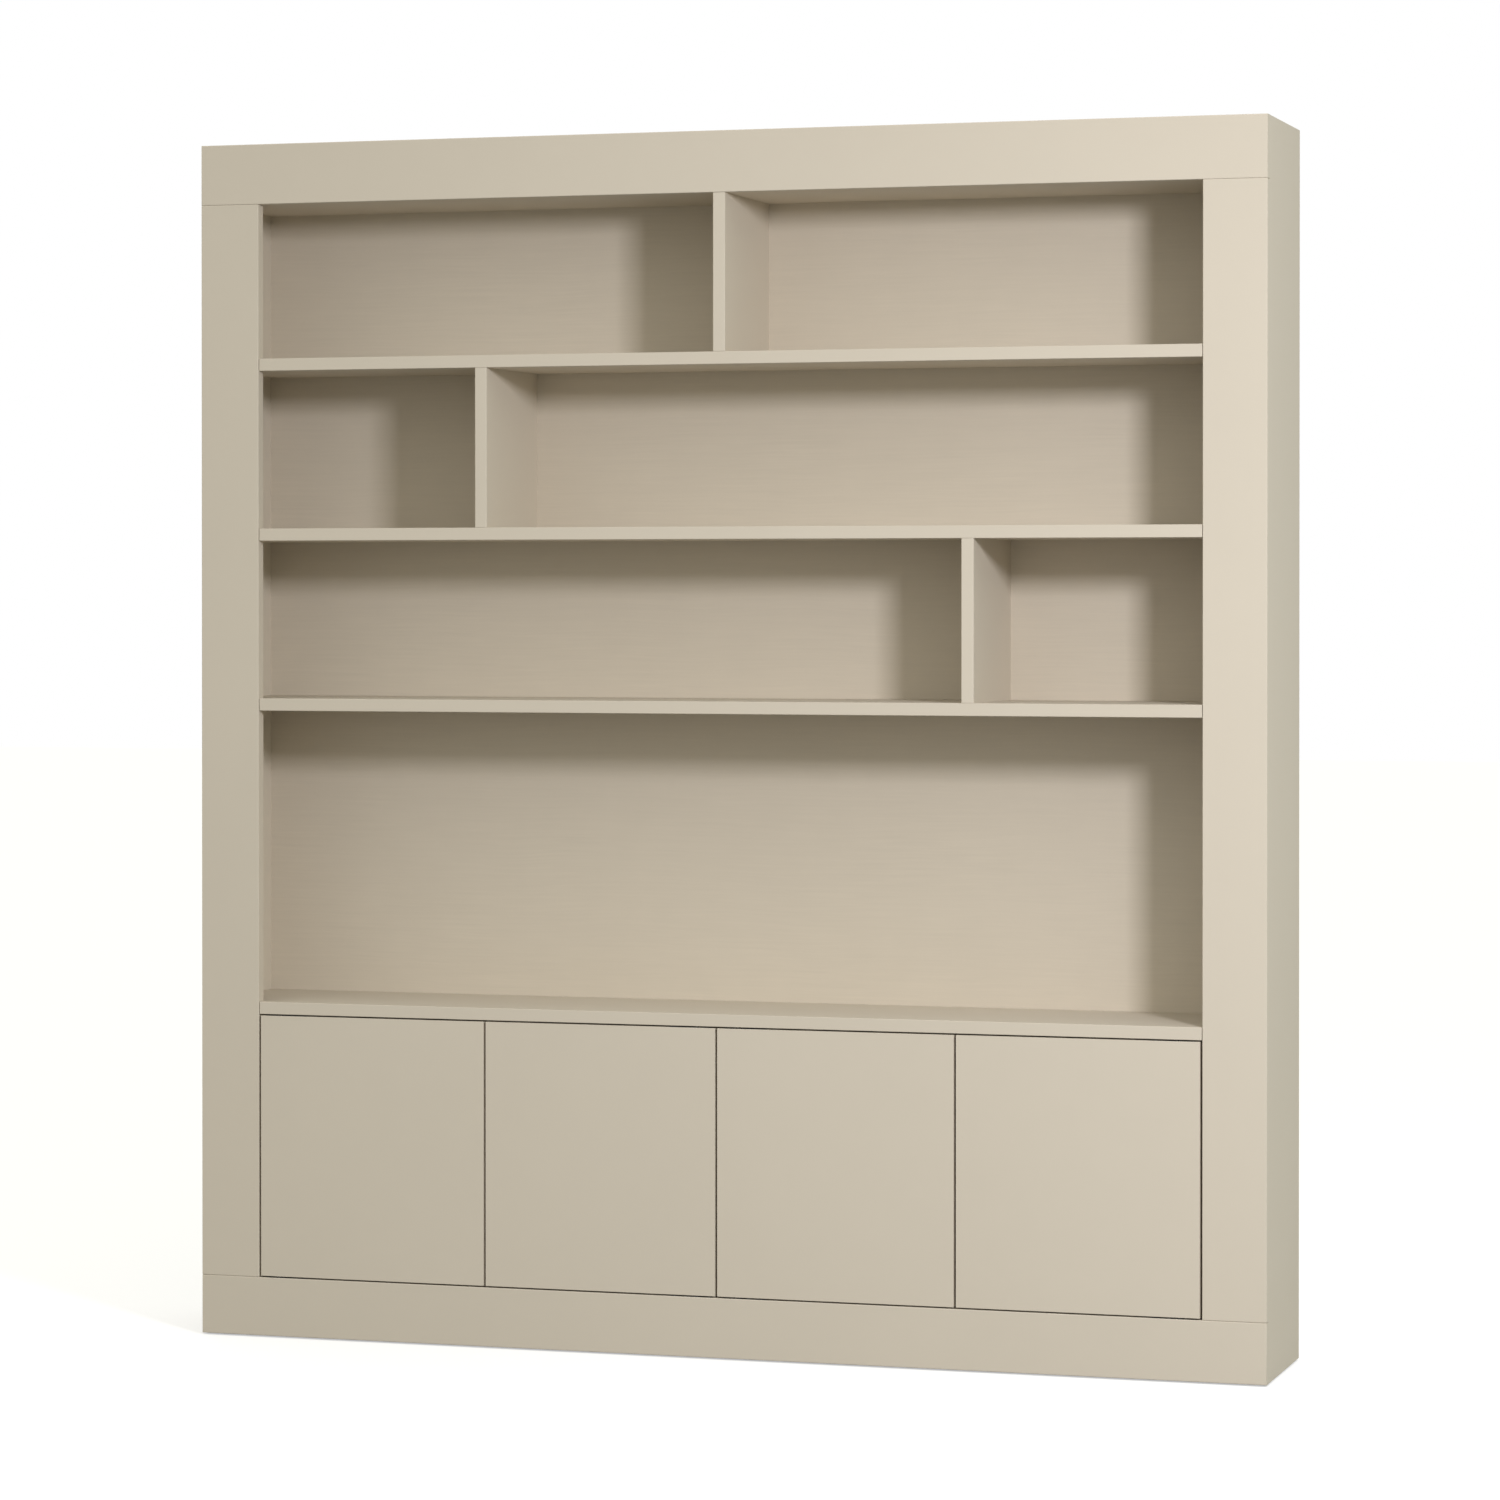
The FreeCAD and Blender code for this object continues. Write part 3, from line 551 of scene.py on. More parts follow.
tree, given, result = effect(
    "wood_grain",
    {"Stretch": (8.0, 90.0, 260.0), "Base": (0.7, 0.6, 0.5, 1), "Streaks": 0.04},
    ("Colour", "Height"),
)
place, shift = pattern_place(tree)
bent = add(tree, "TexNoise", {"Vector": place, "Scale": BEND_SCALE}).outputs["Color"]
bent = vector_math(tree, "MULTIPLY", bent, (BEND, BEND, BEND))
bent = vector_math(tree, "ADD", place, bent)
drawn = vector_math(tree, "MULTIPLY", bent, given["Stretch"])
streak = noise(tree, drawn, shift, 1.0, 3.0)
patch = noise(tree, place, shift, PATCH_SCALE)
streak = math(tree, "MULTIPLY", math(tree, "SUBTRACT", streak, 0.5), patch)
factor = math(tree, "MULTIPLY_ADD", streak, given["Streaks"], 1.0)
colour = tinted(tree, given["Base"], factor)
height = math(tree, "MULTIPLY", streak, GRAIN_HEIGHT)
give(tree, result, Colour=colour, Height=height)
wood_grain = tree
print("grain:", len(tree.nodes), "nodes")

# %% [markdown]
# Zinc on steel is a little cloudy, with fine scratches from the tumbling drum. A part whose edge
# mark is two is blackened steel instead, such as a hardened pin.

# %% Zinc
BLOOM_SCALE = 220.0
SCRATCH_STRETCH = (300.0, 5000.0, 5000.0)
SCRATCH_HEIGHT = 0.004
BLACK_STEEL = (0.05, 0.047, 0.044, 1)

tree, given, result = effect(
    "zinc_skin", {"Base": (0.6, 0.6, 0.6, 1), "Gloss": 0.35}, ("Colour", "Roughness", "Height")
)
place, shift = pattern_place(tree)
bloom = noise(tree, place, shift, BLOOM_SCALE, 4.0)
drawn = vector_math(tree, "MULTIPLY", place, SCRATCH_STRETCH)
scratch = noise(tree, drawn, shift, 1.0)
factor = math(tree, "MULTIPLY_ADD", bloom, 0.25, 0.87)
blacked = remapped(tree, mark_of(tree, "edge"), 1.2, 1.8)
colour = blended(tree, blacked, tinted(tree, given["Base"], factor), BLACK_STEEL)
rough = math(tree, "SUBTRACT", given["Gloss"], 0.11)
rough = math(tree, "MULTIPLY_ADD", bloom, 0.22, rough)
rough = math(tree, "MULTIPLY_ADD", scratch, 0.08, rough)
height = math(tree, "MULTIPLY", scratch, SCRATCH_HEIGHT)
give(tree, result, Colour=colour, Roughness=rough, Height=height)
zinc_skin = tree
print("zinc:", len(tree.nodes), "nodes")

# %% [markdown]
# Moulded plastic has the pebbled skin of its spark-eroded mould. Dust settles on whatever faces
# up, so its mask comes from the surface normal.

# %% Moulded plastic
PEBBLE_SCALE = 2600.0
PEBBLE_HEIGHT = 0.012
FLOW_SCALE = 60.0

tree, given, result = effect(
    "mould_skin", {"Base": (0.8, 0.8, 0.8, 1), "Gloss": 0.45}, ("Colour", "Roughness", "Height")
)
place, shift = pattern_place(tree)
pebble = noise(tree, place, shift, PEBBLE_SCALE, 1.0)
flow = noise(tree, place, shift, FLOW_SCALE, 3.0)
factor = math(tree, "MULTIPLY_ADD", flow, 0.08, 0.96)
colour = tinted(tree, given["Base"], factor)
rough = math(tree, "MULTIPLY_ADD", flow, 0.12, given["Gloss"])
height = math(tree, "MULTIPLY", pebble, PEBBLE_HEIGHT)
give(tree, result, Colour=colour, Roughness=rough, Height=height)
mould_skin = tree
print("moulded plastic:", len(tree.nodes), "nodes")

# %% Dust
DUST = (0.62, 0.59, 0.54, 1)
DUST_SCALE = 30.0

tree, given, result = effect(
    "settled_dust", {"Under": (0.5, 0.5, 0.5, 1), "Amount": 0.1}, ("Colour", "Mask")
)
place, shift = pattern_place(tree)
normal = add(tree, "NewGeometry").outputs["Normal"]
upward = add(tree, "SeparateXYZ", {0: normal}).outputs["Z"]
facing = remapped(tree, upward, 0.6, 0.95)
speck = noise(tree, place, shift, DUST_SCALE, 5.0)
lying = math(tree, "MULTIPLY_ADD", speck, 1.2, 0.4)
mask = math(tree, "MULTIPLY", facing, lying)
mask = math(tree, "MULTIPLY", mask, given["Amount"])
dusty = blended(tree, mask, given["Under"], DUST)
give(tree, result, Colour=dusty, Mask=mask)
settled_dust = tree
print("dust:", len(tree.nodes), "nodes")

# %% [markdown]
# ## The finishes
# The unit is sprayed in a satin clay beige. Its thin back sheets take the same paint a touch
# darker, and their grain prints through. Behind the plinth the boards stay raw. Fittings are
# zinc, pale plastic and dark plastic.

# %% Painted boards and sheets
CLAY = (0.610, 0.548, 0.449, 1)
CLAY_WORN = (0.69, 0.635, 0.54, 1)
CLAY_SHEET = (0.595, 0.530, 0.430, 1)
PAINT_SPECULAR = 0.08


def finish_surface(tree, shader, colour, rough, height):
    """Feeds a shader from an effect. Heights are in millimetres."""
    tree.links.new(colour, shader.inputs["Base Color"])
    tree.links.new(rough, shader.inputs["Roughness"])
    bump = add(tree, "Bump", {"Height": height, "Distance": MM})
    tree.links.new(bump.outputs[0], shader.inputs["Normal"])


def dusted(tree, film, amount):
    """The film's colour and roughness under a little dust."""
    dust = use(tree, settled_dust, {"Under": film["Colour"], "Amount": amount})
    return dust["Colour"], math(tree, "MULTIPLY_ADD", dust["Mask"], 0.4, film["Roughness"])


clay_paint, tree, shader = new_material("clay_paint")
shader.inputs["Specular IOR Level"].default_value = PAINT_SPECULAR
film = use(tree, paint_film, {
    "Base": CLAY, "Worn": CLAY_WORN, "Drift": 0.03, "Wear": 0.35, "Sheen": 0.50,
})
finish_surface(tree, shader, *dusted(tree, film, 0.10), film["Height"])

sheet_paint, tree, shader = new_material("sheet_paint")
shader.inputs["Specular IOR Level"].default_value = PAINT_SPECULAR
grain = use(tree, wood_grain, {
    "Stretch": (9.0, 90.0, 300.0), "Base": CLAY_SHEET, "Streaks": 0.18,
})
film = use(tree, paint_film, {
    "Base": grain["Colour"], "Worn": CLAY_WORN, "Drift": 0.05, "Wear": 0.2, "Sheen": 0.58,
})
height = math(tree, "MULTIPLY_ADD", grain["Height"], 2.0, film["Height"])
finish_surface(tree, shader, film["Colour"], film["Roughness"], height)
print("paint:", CLAY[:3], "and on the back sheets:", CLAY_SHEET[:3])

# %% Raw wood
RAW_WOOD = (0.60, 0.44, 0.28, 1)
BEECH = (0.66, 0.47, 0.31, 1)

raw_board, tree, shader = new_material("raw_board")
grain = use(tree, wood_grain, {
    "Stretch": (12.0, 160.0, 220.0), "Base": RAW_WOOD, "Streaks": 0.8,
})
rough = math(tree, "MULTIPLY_ADD", grain["Height"], 3.0, 0.72)
finish_surface(tree, shader, grain["Colour"], rough, grain["Height"])

beech, tree, shader = new_material("beech")
grain = use(tree, wood_grain, {"Stretch": (500.0, 500.0, 500.0), "Base": BEECH, "Streaks": 0.5})
rough = math(tree, "MULTIPLY_ADD", grain["Height"], 3.0, 0.6)
finish_surface(tree, shader, grain["Colour"], rough, grain["Height"])
print("woods:", RAW_WOOD[:3], BEECH[:3])

# %% Metal and plastic
ZINC = (0.62, 0.63, 0.64, 1)
PALE = (0.74, 0.72, 0.67, 1)
DARK = (0.030, 0.030, 0.032, 1)

zinc, tree, shader = new_material("zinc")
shader.inputs["Metallic"].default_value = 1.0
metal = use(tree, zinc_skin, {"Base": ZINC, "Gloss": 0.34})
finish_surface(tree, shader, metal["Colour"], metal["Roughness"], metal["Height"])

pale_plastic, tree, shader = new_material("pale_plastic")
moulded = use(tree, mould_skin, {"Base": PALE, "Gloss": 0.38})
finish_surface(tree, shader, moulded["Colour"], moulded["Roughness"], moulded["Height"])

dark_plastic, tree, shader = new_material("dark_plastic")
moulded = use(tree, mould_skin, {"Base": DARK, "Gloss": 0.42})
finish_surface(tree, shader, *dusted(tree, moulded, 0.15), moulded["Height"])
finishes = {
    "painted_board": clay_paint, "painted_panel": sheet_paint,
    "bare_board": raw_board, "dowel_wood": beech,
    "zinc_steel": zinc, "pale_plastic": pale_plastic, "dark_plastic": dark_plastic,
}
print("finishes:", sorted(finishes))

# %% [markdown]
# ## The face frame
# Two rails run over the full width and two stiles stand between them. On the real unit the four
# boards are doweled edge to edge, and each arris is eased before painting, which leaves a fine
# dark line at every joint. A rail is a rectangle carried from front to back, with a larger
# rounding on the face that shows. A stile is carried upwards instead, so that its ends have a
# rounding of their own, which makes the joint's fine line.

# %% Rails and stiles
ARRIS = 1.5 * MM
HIDDEN_ARRIS = 0.4 * MM
JOINT_ARRIS = 2.0 * MM


def front_board(node, cutters=(), arris=ARRIS):
    """A board that shows its front face, carried from front to back."""
    low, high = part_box(node)
    outline = rounded(rectangle(low.x, low.z, high.x, high.z))
    return make(node, slab(outline, low.y, high.y, (arris, HIDDEN_ARRIS), "Y"), cutters)


for node in ("stile_left", "stile_right"):
    low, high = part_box(node)
    outline = rounded(rectangle(low.x, low.y, high.x, high.y), (ARRIS, ARRIS, 0, 0))
    make(node, slab(outline, low.z, high.z, JOINT_ARRIS))
top_rail = front_board("top_rail")
print("top rail:", faces_of([top_rail]), "triangles")

# %% [markdown]
# ## Hinge leaves and their recesses
# Each door turns on two pins. A steel leaf with a pin is let into the door's end, and a bored
# plate into the board that it faces. So four kinds of recess are cut with the same few shapes:
# the leaf's outline, a bore, a countersunk hole and, for the latch, a round seat. Cutters are a
# little larger than what goes in, and start outside the wood so that the cut is clean.

# %% Pivots, measured from the joints
PLATE_THICK = 3 * MM
PLATE_HALF = 7 * MM
PLATE_TAIL = 28 * MM
PLATE_REACH = 52 * MM
PLATE_CORNER = 3 * MM
PLATE_ARRIS = 0.25 * MM
PIN_RADIUS = 4 * MM
PIN_SEAT = 6 * MM
SCREW_SPOTS = (18 * MM, 42 * MM)
FIT = 0.1 * MM

pivots = {}
for joint in frame["joints"]:
    if joint["type"] == "hinge":
        x, y, _ = joint["pos_m"]
        pivots[joint["child"].replace("_body", "")] = (x, y, -np.sign(joint["axis"][2]))
DOOR_LOW, DOOR_HIGH = (corner.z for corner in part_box("door_1"))
PIVOT_Y = pivots["door_1"][1]
SEAT_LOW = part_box("bottom_rail")[1].z
SEAT_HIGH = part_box("counter")[0].z
print("pivots:", pivots)


def leaf_shape(x, way, low, high, grow=0.0):
    """The leaf or plate of a pivot: a bar with rounded corners, long on the side of the door."""
    ends = sorted((x - way * PLATE_TAIL, x + way * PLATE_REACH))
    corners = rectangle(
        ends[0] - grow, PIVOT_Y - PLATE_HALF - grow, ends[1] + grow, PIVOT_Y + PLATE_HALF + grow
    )
    return slab(rounded(corners, PLATE_CORNER), low, high, 0.0 if grow else PLATE_ARRIS)


def rod_shape(radius, low, high, ease=0.0, around=32):
    """A round bar on the axis, from one height to another."""
    return turned(rectangle(0, low, radius, high), (0, ease, ease, 0), around, 3)


# %% A countersunk hole
# A cone for the head stands over a bore for the shank.
SINK = [(0, -8), (1.85, -8), (1.85, -1.8), (3.5, -0.02), (3.5, 0.5), (0, 0.5)]
sink_hole = turned(np.array(SINK) * MM, 0.0, 24, 1)
print("countersunk hole:", len(sink_hole[1]), "faces")

# %% Bottom rail and its recesses
BEYOND = 1 * MM
low_recesses = []
high_recesses = []
for x, _, way in pivots.values():
    bore = rod_shape(PIN_RADIUS + FIT, 0, PLATE_THICK + PIN_SEAT)
    low_recesses.append(leaf_shape(x, way, SEAT_LOW - PLATE_THICK, SEAT_LOW + BEYOND, FIT))
    low_recesses.append(placed(bore, (x, PIVOT_Y, SEAT_LOW), "down"))
    high_recesses.append(leaf_shape(x, way, SEAT_HIGH - BEYOND, SEAT_HIGH + PLATE_THICK, FIT))
    high_recesses.append(placed(bore, (x, PIVOT_Y, SEAT_HIGH)))
bottom_rail = front_board("bottom_rail", low_recesses)
print("bottom rail:", faces_of([bottom_rail]), "triangles")

# %% [markdown]
# ## Shelves with a tongue
# The shelves run behind the stiles from side panel to side panel, and a tongue comes forward
# between the stiles, flush with the frame but for a millimetre. Their outline is therefore a
# wide T, seen from above, carried upwards through the board's thickness.

# %% Shelves
END_GAP = 1 * MM
SHELF_ARRIS = 1.0 * MM
frame_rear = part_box("stile_left")[1].y
tongue_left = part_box("stile_left")[1].x + END_GAP
tongue_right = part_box("stile_right")[0].x - END_GAP


def shelf(node, cutters=()):
    """A shelf as wide as the unit, with a tongue between the stiles."""
    low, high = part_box(node)
    corners = [
        (tongue_left, low.y), (tongue_right, low.y), (tongue_right, frame_rear),
        (high.x, frame_rear), (high.x, high.y), (low.x, high.y),
        (low.x, frame_rear), (tongue_left, frame_rear),
    ]
    outline = rounded(corners, [SHELF_ARRIS] * 2 + [0] * 6)
    return make(node, slab(outline, low.z, high.z, SHELF_ARRIS), cutters)


for node in ("shelf_upper", "shelf_middle", "shelf_lower"):
    shelf(node)
counter = shelf("counter", high_recesses)
print("counter:", faces_of([counter]), "triangles")

# %% [markdown]
# ## Sides, uprights and back
# The side panels carry a groove for the back sheets, which simply belongs to their outline. Their
# inner faces, and both faces of the cupboard's partition, have rows of holes for the pegs of the
# loose shelves. The three dividers are plain boards, and so are the top cover, the ceiling and
# the cupboard's floor. Every one has its own arrises, and fine shadow lines show where they meet.

# %% Peg holes
PEG_RADIUS = 2.5 * MM
PEG_DEEP = 9 * MM
PEG_STEP = 32 * MM
PEG_INSET = 40 * MM
PEG_PLAY = 0.05 * MM
shelf_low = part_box("cupboard_shelf_left")[0]
sheet_low, sheet_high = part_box("back_sheet_niche")
peg_z = shelf_low.z - PEG_RADIUS
peg_rows = (shelf_low.y + PEG_INSET, sheet_low.y - PEG_INSET)


def peg_holes(x, way):
    """Six holes in a face at x: three heights in each of two rows."""
    hole = rod_shape(PEG_RADIUS + PEG_PLAY, -PEG_DEEP, BEYOND, 0.0, 20)
    return [
        placed(hole, (x, y, peg_z + step * PEG_STEP), way) for y in peg_rows for step in (-1, 0, 1)
    ]


# %% Side panels
GROOVE_DEEP = 8 * MM
GROOVE_PLAY = 0.3 * MM
SIDE_ARRIS = 0.5 * MM
for node, inner, outer in (("side_panel_left", 1, 0), ("side_panel_right", 0, 1)):
    low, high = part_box(node)
    face, back = (low.x, high.x)[inner], (low.x, high.x)[outer]
    toward = np.sign(back - face)
    groove = face + toward * GROOVE_DEEP
    corners = [
        (back, low.y), (face, low.y), (face, sheet_low.y), (groove, sheet_low.y),
        (groove, sheet_high.y + GROOVE_PLAY), (face, sheet_high.y + GROOVE_PLAY),
        (face, high.y), (back, high.y),
    ]
    outline = rounded(corners, [SIDE_ARRIS, 0, 0, 0, 0, 0, SIDE_ARRIS, SIDE_ARRIS])
    holes = peg_holes(face, ("left", "right")[inner])
    panel = make(node, slab(outline, low.z, high.z, SIDE_ARRIS), holes)
    print(node, "has", len(holes), "peg holes and", faces_of([panel]), "triangles")

# %% Dividers, partition and level boards
dividers = [front_board(node) for node in ("divider_upper", "divider_middle", "divider_lower")]
low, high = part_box("cupboard_partition")
front_board("cupboard_partition", peg_holes(low.x, "left") + peg_holes(high.x, "right"))
for node in ("top_cover", "ceiling_panel", "floor_panel"):
    low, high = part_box(node)
    make(node, slab(rounded(rectangle(low.x, low.y, high.x, high.y)), low.z, high.z))
for node in ("cupboard_shelf_left", "cupboard_shelf_right"):
    front_board(node, arris=SHELF_ARRIS)
print("three dividers:", faces_of(dividers), "triangles")

# %% [markdown]
# The back sheets slide down their grooves, one above the other, with the seams hidden behind
# boards. Behind the bottom rail, raw boards make the plinth that carries the cupboard's floor.

# %% Back sheets and plinth
SHEET_ARRIS = 0.3 * MM
for node in ("back_sheet_cupboard", "back_sheet_niche", "back_sheet_shelves", "plinth_rear_rail"):
    low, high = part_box(node)
    outline = rounded(rectangle(low.x, low.z, high.x, high.z))
    make(node, slab(outline, low.y, high.y, SHEET_ARRIS, "Y"))
low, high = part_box("plinth_bearers")
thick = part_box("plinth_rear_rail")[1].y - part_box("plinth_rear_rail")[0].y
outline = rounded(rectangle(low.y, low.z, high.y, high.z))
bearers = [
    slab(outline, start, start + thick, SHEET_ARRIS, "X") for start in (low.x, high.x - thick)
]
make("plinth_bearers", together(bearers))
print("bearers:", round(thick / MM, 1), "mm thick")

# %% [markdown]
# ## Doors
# A door is a plain board with small arrises and a few seats: one in each end for a pivot leaf,
# and a round one behind, near its free edge, where the latch's plunger meets a steel disc.

# %% Doors
DOOR_ARRIS = 0.7 * MM
STRIKE_DEEP = 1.5 * MM
STRIKE_RADIUS = 7 * MM
STRIKE_RIM = [(0, -1.5), (7, -1.5), (7, -0.3), (6.7, 0), (2.6, 0), (1.8, -0.35), (0, -0.35)]
STRIKE_EASE = [0, 0.1, 0.1, 0.1, 0.3, 0.3, 0]
disc = turned(np.array(STRIKE_RIM) * MM, np.array(STRIKE_EASE) * MM, 40)
for door, (x, _, way) in pivots.items():
    low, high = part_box(door)
    spot = sum(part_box(door + "_strike_plate"), Vector()) / 2
    seat = rod_shape(STRIKE_RADIUS + FIT / 2, -STRIKE_DEEP, BEYOND)
    piece = front_board(door, [
        leaf_shape(x, way, low.z - BEYOND, low.z + PLATE_THICK, FIT),
        leaf_shape(x, way, high.z - PLATE_THICK, high.z + BEYOND, FIT),
        placed(seat, (spot.x, high.y, spot.z), "back"),
    ], DOOR_ARRIS)
    make(door + "_strike_plate", placed(disc, (spot.x, high.y, spot.z), "back"))
    print(door, "hinges at x", round(x, 4), "and has", faces_of([piece]), "triangles")

# %% [markdown]
# ## Screws
# A screw is one surface of two parameters, height and angle. Along the head and cone the radius
# depends on height alone. Along the thread it also depends on angle: the ridge stands where
# height / pitch + angle / full turn is a whole number, so it climbs one pitch in each turn. A
# cross is then cut into the head. One screw is made in full and copied to all its places.

# %% Threads and crosses


def threaded(before, crest, core, pitch, start, end, tip=0.0, around=16, rows=5, after=()):
    """Rings of a threaded bar. Before and after are (radius, height) rings without thread. The
    tip is the length over which the thread runs out to a point."""
    height = np.linspace(start, end, int(abs(end - start) / pitch * rows) + 1)
    angle = np.linspace(0, 2 * np.pi, around, endpoint=False)
    climb = height[:, None] / pitch + angle[None] / (2 * np.pi)
    ridge = 1 - np.abs(2 * (climb % 1) - 1)
    radius = core + (crest - core) * np.clip(1.6 * ridge - 0.3, 0, 1)
    if tip:
        radius = radius * np.clip(np.abs(end - height) / tip, 0, 1)[:, None] ** 0.7
    first, last = (np.array(rings, float).reshape(-1, 2) for rings in (before, after))
    plain = [np.repeat(rings[:, :1], around, 1) for rings in (first, last)]
    radius = np.vstack([plain[0], radius, plain[1]])
    level = np.concatenate([first[:, 1], height, last[:, 1]])[:, None]
    level = np.broadcast_to(level, radius.shape)
    return skin(np.stack([radius * np.cos(angle), radius * np.sin(angle), level], -1), 0.0)


def drawn_cutter(corners, levels, scales):
    """A cutter with straight sides: the outline at each level, drawn in by the scale there."""
    flat = np.array(scales)[:, None, None] * np.array(corners, float)[None]
    level = np.broadcast_to(np.array(levels)[:, None, None], flat.shape[:2] + (1,))
    return skin(np.concatenate([flat, level], -1), 0.0)


def shape_of(mesh):
    """Points, faces and edge marks read back from a finished mesh."""
    points = np.zeros(len(mesh.vertices) * 3)
    mesh.vertices.foreach_get("co", points)
    faces = [list(p.vertices) for p in mesh.polygons]
    return points.reshape(-1, 3), faces, np.zeros(len(mesh.vertices))


def bored(name, shape, cutters):
    """A shape with holes cut in it."""
    thing = bpy.data.objects.new(name, mesh_of(name, shape))
    scene.collection.objects.link(thing)
    carved(thing, cutters)
    shape = shape_of(thing.data)
    bpy.data.objects.remove(thing)
    return shape


# %% The screw itself
HEAD = np.array([(0, 0), (3.15, 0), (3.4, -0.12), (3.36, -0.35), (1.5, -1.8)]) * MM
SCREW_CREST = 1.75 * MM
SCREW_CORE = 1.2 * MM
SCREW_PITCH = 1.4 * MM
SCREW_RUN = (-2.1 * MM, -16 * MM)
SCREW_TIP = 3 * MM
ARM = 0.42 * MM
SPAN = 1.85 * MM
CROSS_RUN = (0.3 * MM, -1.3 * MM)
CROSS_SCALES = (1.1, 0.55)
cross = [
    (ARM, ARM), (ARM, SPAN), (-ARM, SPAN), (-ARM, ARM), (-SPAN, ARM), (-SPAN, -ARM),
    (-ARM, -ARM), (-ARM, -SPAN), (ARM, -SPAN), (ARM, -ARM), (SPAN, -ARM), (SPAN, ARM),
]
blank = threaded(HEAD, SCREW_CREST, SCREW_CORE, SCREW_PITCH, *SCREW_RUN, SCREW_TIP)
screw = bored("screw", blank, [drawn_cutter(cross, CROSS_RUN, CROSS_SCALES)])
print("one screw:", len(screw[1]), "faces")

# %% [markdown]
# ## Pivot hardware
# The leaves ride with their doors, and the plates stay in the rail and the counter. Both are
# stamped bars with countersunk holes, so one function makes them. The pin stands on the leaf and
# has a bevelled end. It is hardened and blackened, which its edge mark of two tells the zinc
# effect. A plastic washer round each lower pin carries the door.

# %% Leaves, plates and their screws
PIN_OUT = DOOR_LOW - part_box("door_1_pivot_leaves")[0].z
PIN_ROOT = 1 * MM
PIN_EASE = 0.8 * MM
PIN_HOLE = 9 * MM
BLACKENED = 2.0


def pivot_bar(x, way, z, inner, facing, bores=()):
    """A leaf or plate with its screws, let into a board whose end or face is at height z."""
    spots = [(x + way * spot, PIVOT_Y, z) for spot in SCREW_SPOTS]
    holes = [placed(sink_hole, spot, facing) for spot in spots]
    ends = sorted((z, z + inner * PLATE_THICK))
    bar = bored("bar", leaf_shape(x, way, *ends), holes + list(bores))
    return bar, [placed(screw, spot, facing) for spot in spots]


points, faces, _ = turned(rectangle(0, -PIN_ROOT, PIN_RADIUS, PIN_OUT), (0, 0, PIN_EASE, 0))
pin = points, faces, np.full(len(points), BLACKENED)
pin_hole = rod_shape(PIN_RADIUS + FIT, -PIN_HOLE, BEYOND)
plates = []
plate_screws = []
for door, (x, _, way) in pivots.items():
    leaves = []
    screws = []
    for z, inner, facing in ((DOOR_LOW, 1, "down"), (DOOR_HIGH, -1, "up")):
        leaf, held = pivot_bar(x, way, z, inner, facing)
        leaves += [leaf, placed(pin, (x, PIVOT_Y, z), facing)]
        screws += held
    make(door + "_pivot_leaves", together(leaves))
    make(door + "_leaf_screws", together(screws))
    for z, inner, facing in ((SEAT_LOW, -1, "up"), (SEAT_HIGH, 1, "down")):
        bore = placed(pin_hole, (x, PIVOT_Y, z), facing)
        plate, held = pivot_bar(x, way, z, inner, facing, [bore])
        plates.append(plate)
        plate_screws += held
make("pivot_plates", together(plates))
make("pivot_plate_screws", together(plate_screws))
print("plates:", len(plates), "with", len(plate_screws), "screws")

# %% Washers
RUNNING_FIT = 0.05 * MM
WASHER_RADIUS = 6.5 * MM
WASHER_EASE = 0.5 * MM
low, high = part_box("pivot_washers")
section = rectangle(PIN_RADIUS + RUNNING_FIT, 0, WASHER_RADIUS, high.z - low.z)
washer = turned(section, WASHER_EASE, 36)
washers = [placed(washer, (x, PIVOT_Y, low.z)) for x, _, _ in pivots.values()]
make("pivot_washers", together(washers))
print("washers:", len(washers))

# %% [markdown]
# ## Push latches
# Seen from the front, a latch's housing is a keyhole upside down: a round barrel under a web and
# a wide flange that is screwed to the counter. That outline is carried to the back, then bored
# for the plunger and its spring. The plunger has a domed rubber-like tip and rides on its own
# body, because it slides.

